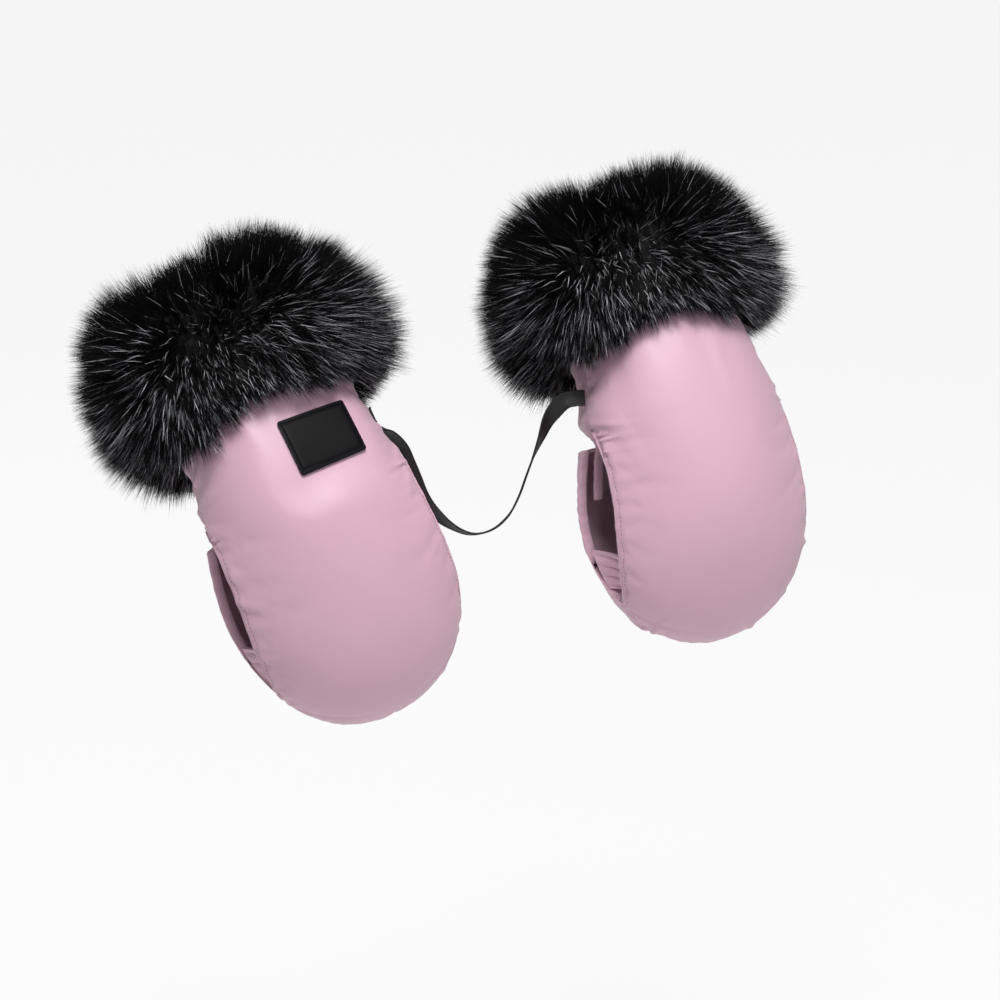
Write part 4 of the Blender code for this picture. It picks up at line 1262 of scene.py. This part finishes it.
PATCH_UNDER_SHARES = (0.05, 0.3, 0.55, 0.8)
PATCH_FIELD_SHARES = (0.9, 0.75, 0.6, 0.45, 0.3, 0.15, 0.04)
PATCH_UNDERCUT = 0.12 * MM
PATCH_EDGE_ROUNDING = 0.3 * MM
PATCH_GROOVE_DEPTH = 0.6 * MM
PATCH_GROOVE_SLOPE = 0.35 * MM
PATCH_GROOVE_FLOOR = 0.4 * MM
PATCH_FIELD_INSET = 1.3 * MM
PATCH_FIELD_SLOPE = 0.2 * MM
PATCH_FIELD_DROP = 0.05 * MM
PATCH_LEAST_CORNER = 0.5 * MM


def rubber_patch(material):
    """A soft moulded patch: a slab with rounded corners, a groove inside its rim and a raised field."""
    top = PATCH_THICKNESS
    rim = settings("trim").rim
    groove = rim + PATCH_GROOVE_SLOPE
    field = rim + PATCH_FIELD_INSET
    edge = PATCH_EDGE_ROUNDING
    profile = (
        (0.0, PATCH_UNDERCUT), (0.0, top - edge), (0.3 * edge, top - 0.3 * edge), (edge, top), (rim, top),
        (groove, top - PATCH_GROOVE_DEPTH), (groove + PATCH_GROOVE_FLOOR, top - PATCH_GROOVE_DEPTH),
        (field - PATCH_FIELD_SLOPE, top - PATCH_UNDERCUT), (field, top - PATCH_FIELD_DROP),
    )
    rings = []

    def add_ring(flat, height):
        rings.append(np.column_stack([flat, np.full(len(flat), height)]))

    for share in PATCH_UNDER_SHARES:
        add_ring(rounded_ring(PATCH_WIDTH, PATCH_HEIGHT, PATCH_CORNER) * share, 0.0)
    undercut = 2 * PATCH_UNDERCUT
    add_ring(rounded_ring(PATCH_WIDTH - undercut, PATCH_HEIGHT - undercut, PATCH_CORNER), 0.0)
    for inset, height in profile:
        corner = max(PATCH_CORNER - inset, PATCH_LEAST_CORNER)
        flat = rounded_ring(PATCH_WIDTH - 2 * inset, PATCH_HEIGHT - 2 * inset, corner)
        add_ring(flat, height)
    for share in PATCH_FIELD_SHARES:
        add_ring(flat * share, top)
    x, y, height = np.moveaxis(np.array(rings), -1, 0)
    made = lofted("left_patch_rubber", patch_place(x, y, height))
    return finish_piece(made, "muffs", "patch_rubber", material, ["left_rubber_patch"])


THREAD_RADIUS = 0.2 * MM
THREAD_SINK = 0.16 * MM
THREAD_LIFT = 0.12 * MM
THREAD_STEP = 0.5 * MM
STITCH_PITCH_SHARE = 1.35
STITCHES_END = 4 * MM


def stitch_shape(length):
    """Corner points and faces of one short thread, lying along X."""
    made = new_primitive("thread", bpy.ops.mesh.primitive_uv_sphere_add, segments=6, ring_count=5, radius=1)
    points = points_of(made)[:, [2, 1, 0]]
    along = np.sign(points[:, 0]) * np.abs(points[:, 0]) ** 0.7
    points *= THREAD_RADIUS
    points[:, 0] = along * length / 2
    points[:, 2] -= THREAD_SINK * along**2
    faces = [tuple(face.vertices) for face in made.data.polygons]
    bpy.data.objects.remove(made)
    return points, faces


def stitch_line(side, sign):
    """Places and outward ways along the stitches of one slot's hem."""
    surface, _, edge_gap, (_, far, _) = panel_surfaces(side, "front")
    points, deeper = surface(0.0), surface(SHELL)
    spots, ways = [], []
    for row in np.flatnonzero(slot_depth("front", far[:, -1]) > STITCHES_END):
        gaps = edge_gap[row, PANEL_COLUMNS // 2 :]
        column = np.interp(-settings("cloth").hem, -gaps, np.arange(len(gaps)))
        low = int(column)
        share = column - low
        low += PANEL_COLUMNS // 2
        first, second = (low, low + 1) if sign > 0 else (PANEL_COLUMNS - low, PANEL_COLUMNS - low - 1)
        spots.append(blend(points[row, first], points[row, second], share))
        ways.append(points[row, first] - deeper[row, first])
    return np.array(spots), unit(np.array(ways))


def hem_stitches(side, material):
    """Rows of thread along the hems of the front panel's two slots."""
    length = settings("trim").stitch
    pitch = STITCH_PITCH_SHARE * length
    shape_points, shape_faces = stitch_shape(length)
    all_points, all_faces = [], []
    for sign in (1, -1):
        spots, ways = stitch_line(side, sign)
        reach = reach_of(spots)
        for mark in np.arange(pitch, reach[-1] - pitch, pitch):
            spot = values_at(mark, reach, spots)
            outward = values_at(mark, reach, ways)
            ahead = unit(values_at(mark + THREAD_STEP, reach, spots) - spot)
            turned = np.stack([ahead, np.cross(outward, ahead), outward])
            offset = len(all_points) * len(shape_points)
            all_faces += [tuple(corner + offset for corner in face) for face in shape_faces]
            all_points.append(spot + outward * THREAD_LIFT + shape_points @ turned)
    mesh = bpy.data.meshes.new(f"{side}_hem_stitches")
    mesh.from_pydata(np.vstack(all_points), [], all_faces)
    made = new_object(mesh.name, mesh, material)
    face_outwards(made)
    return finish_piece(made, "muffs", "satin", material)


LAMPS = {
    "key": {"spot": (-0.3, -0.8, 2.1), "size": 0.8, "power": 44},
    "fill": {"spot": (0.6, -1.9, 0.5), "size": 1.5, "power": 6},
    "top": {"spot": (0.1, 0.6, 1.8), "size": 1.2, "power": 6},
    "rear": {"spot": (-0.6, 1.9, 0.7), "size": 1.5, "power": 7},
}
FLOOR_SIZE = 60
WHITE = (1, 1, 1, 1)


def white_light(nodes, kind, strength):
    """A node that gives off white light."""
    light = nodes.new(kind)
    light.inputs["Color"].default_value = WHITE
    light.inputs["Strength"].default_value = strength
    return light


def camera_mix(nodes, links, share, unseen, seen, target):
    """Show the camera a share of what is to be seen, and every other ray what is unseen."""
    path = nodes.new("ShaderNodeLightPath")
    part = nodes.new("ShaderNodeMath")
    part.operation = "MULTIPLY"
    part.inputs[1].default_value = share
    mix = nodes.new("ShaderNodeMixShader")
    links.new(path.outputs["Is Camera Ray"], part.inputs[0])
    links.new(part.outputs["Value"], mix.inputs["Fac"])
    links.new(unseen, mix.inputs[1])
    links.new(seen, mix.inputs[2])
    links.new(mix.outputs["Shader"], nodes[target].inputs["Surface"])


def add_floor(stage):
    """A pale floor that almost glows white to the camera, so that only soft shadows mark it."""
    pale, nodes, links, shader = new_material("pale_floor")
    shader.inputs["Base Color"].default_value = (*stage.floor, 1)
    shader.inputs["Roughness"].default_value = 0.9
    glow = white_light(nodes, "ShaderNodeEmission", 1.0)
    camera_mix(
        nodes, links, stage.glow, shader.outputs["BSDF"], glow.outputs["Emission"], "Material Output"
    )
    spot = (0, 0, -stage.drop)
    floor = new_primitive("floor", bpy.ops.mesh.primitive_plane_add, size=FLOOR_SIZE, location=spot)
    bpy.ops.object.transform_apply(location=True, rotation=True, scale=True)
    floor.data.materials.append(pale)


def add_world(stage):
    """Even daylight, seen by the camera as white."""
    world = bpy.data.worlds.new("studio")
    world.use_nodes = True
    bpy.context.scene.world = world
    nodes, links = world.node_tree.nodes, world.node_tree.links
    light = nodes["Background"]
    light.inputs["Color"].default_value = WHITE
    light.inputs["Strength"].default_value = stage.daylight
    seen = white_light(nodes, "ShaderNodeBackground", 1.0)
    camera_mix(
        nodes, links, 1.0, light.outputs["Background"], seen.outputs["Background"], "World Output"
    )


def add_lamps():
    for name, facts in LAMPS.items():
        bpy.ops.object.light_add(type="AREA", location=facts["spot"])
        lamp = bpy.context.active_object
        lamp.name = name
        lamp.data.size = facts["size"]
        lamp.data.energy = facts["power"]
        lamp.rotation_euler = (-Vector(facts["spot"])).to_track_quat("-Z", "Y").to_euler()


def add_camera():
    sideways, rising = math.cos(VIEW_ELEVATION), math.sin(VIEW_ELEVATION)
    back = Vector((math.sin(VIEW_AZIMUTH) * sideways, -math.cos(VIEW_AZIMUTH) * sideways, rising))
    right = Vector((math.cos(VIEW_AZIMUTH), math.sin(VIEW_AZIMUTH), 0))
    up = back.cross(right)
    spot = back * VIEW_DISTANCE + right * VIEW_RIGHT_OFFSET + up * VIEW_UP_OFFSET
    bpy.ops.object.camera_add(location=spot)
    camera = bpy.context.active_object
    camera.name = "photo_camera"
    camera.rotation_euler = Matrix((right, up, back)).transposed().to_euler()
    camera.data.sensor_width = SENSOR_WIDTH
    camera.data.lens = FOCAL_PIXELS / IMAGE_SIDE * SENSOR_WIDTH
    bpy.context.scene.camera = camera


class MUFF_OT_stage(bpy.types.Operator):
    """Add the floor, the lamps and the photograph's camera"""

    bl_idname = "muff.stage"
    bl_label = "Stage"

    def execute(self, context):
        stage = settings("stage")
        add_camera()
        add_floor(stage)
        add_world(stage)
        add_lamps()
        bpy.context.scene.view_settings.view_transform = "Standard"
        return {"FINISHED"}


class MUFF_OT_strap(bpy.types.Operator):
    """Sweep the flat strap that joins the two muffs"""

    bl_idname = "muff.strap"
    bl_label = "Connecting strap"

    def execute(self, context):
        trim = settings("trim")
        connecting_strap(plain_material("webbing", trim.webbing, 0.6, grain=900, depth=0.4 * MM))
        return {"FINISHED"}


class MUFF_OT_panels(bpy.types.Operator):
    """Lay the shells, the wadding and the fleece of every panel"""

    bl_idname = "muff.panels"
    bl_label = "Padded panels"

    def execute(self, context):
        cloth = settings("cloth")
        satin = satin_material(cloth.satin)
        wadding = plain_material("wadding", (0.75, 0.74, 0.72), 0.95, grain=300, depth=0.3 * MM)
        fleece = plain_material("fleece", cloth.fleece, 0.95, grain=260, depth=2 * MM)
        # Partly a darker thread and partly painted shade: the satin's pink at under half strength stands in
        # for the shade in the needle holes.
        thread_pink_with_painted_shade = [0.45 * share for share in cloth.satin]
        thread = plain_material("thread", thread_pink_with_painted_shade, 0.6, grain=900, depth=0.3 * MM)
        for side in SIDES:
            for panel, facts in PANELS.items():
                inside = (satin, "satin") if facts["satin_inside"] else (fleece, "lining")
                panel_layer(side, panel, "shell", satin, "satin")
                pad = panel_layer(side, panel, "padding", wadding, "padding")
                panel_layer(side, panel, "lining", *inside)
            hem_stitches(side, thread)
            inner_sign = 1 if side == "left" else -1
            for label, sign in (("inner", inner_sign), ("outer", -inner_sign)):
                slot_hem(side, f"{label}_slot_hem", sign, satin)
                gusset(side, f"{label}_gusset", sign, satin)
            back_edges(side, satin)
        return {"FINISHED"}


class MUFF_OT_cuffs(bpy.types.Operator):
    """Build the cuffs' cloth tubes and their fur"""

    bl_idname = "muff.cuffs"
    bl_label = "Fur cuffs"

    def execute(self, context):
        fur = settings("fur")
        cloth = plain_material("cuff_cloth", settings("cloth").fleece, 0.9, grain=500, depth=0.6 * MM)
        short = plain_material("short_pile", fur.root, 0.9, grain=700, depth=2 * MM)
        pile = fur_material(fur.root, fur.frost)
        lining_inset = SHELL + 2 * LAYER_GAP + CUFF_PADDING
        for side in SIDES:
            cuff_tube(side, "cuff_backing", 0.0, CUFF_BACKING, cloth)
            cuff_tube(side, "cuff_facing", lining_inset, CUFF_FACING, cloth)
            under_fur(side, short)
            for number in range(3):
                fur_piece(side, number, pile)
        return {"FINISHED"}


class MUFF_OT_trim(bpy.types.Operator):
    """Mould the rubber patch and finish the press studs"""

    bl_idname = "muff.trim"
    bl_label = "Patch and studs"

    def execute(self, context):
        trim = settings("trim")
        rubber_patch(plain_material("rubber", trim.rubber, 0.5, grain=1200, depth=0.1 * MM, specular=0.12))
        steel = plain_material("stud_steel", trim.steel, 0.28, grain=200, depth=0.05 * MM, metallic=1.0)
        for name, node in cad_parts.items():
            if "_stud" in name:
                node.data.materials.clear()
                node.data.materials.append(steel)
        return {"FINISHED"}


class MUFF_PT_panel(bpy.types.Panel):
    bl_idname = "MUFF_PT_panel"
    bl_label = "Stroller hand muffs"
    bl_space_type = "VIEW_3D"
    bl_region_type = "UI"
    bl_category = "Muffs"

    def draw(self, context):
        column = self.layout.column()
        for name in GROUPS:
            group = getattr(context.scene, f"muff_{name}")
            for prop in group.bl_rna.properties:
                if prop.identifier not in ("rna_type", "name"):
                    column.prop(group, prop.identifier)
        for operator in OPERATORS:
            column.operator(operator.bl_idname)


GROUPS = {"cloth": MUFF_PG_cloth, "fur": MUFF_PG_fur, "trim": MUFF_PG_trim, "stage": MUFF_PG_stage}
OPERATORS = (MUFF_OT_stage, MUFF_OT_strap, MUFF_OT_panels, MUFF_OT_cuffs, MUFF_OT_trim)


def register():
    for group in GROUPS.values():
        bpy.utils.register_class(group)
    for name, group in GROUPS.items():
        setattr(bpy.types.Scene, f"muff_{name}", bpy.props.PointerProperty(type=group))
    for operator in OPERATORS:
        bpy.utils.register_class(operator)
    bpy.utils.register_class(MUFF_PT_panel)


def unregister():
    bpy.utils.unregister_class(MUFF_PT_panel)
    for operator in OPERATORS:
        bpy.utils.unregister_class(operator)
    for name, group in GROUPS.items():
        delattr(bpy.types.Scene, f"muff_{name}")
        bpy.utils.unregister_class(group)


def main():
    register()
    bpy.ops.muff.stage()
    bpy.ops.muff.strap()
    bpy.ops.muff.panels()
    bpy.ops.muff.cuffs()
    bpy.ops.muff.trim()


if __name__ == "__main__":
    main()
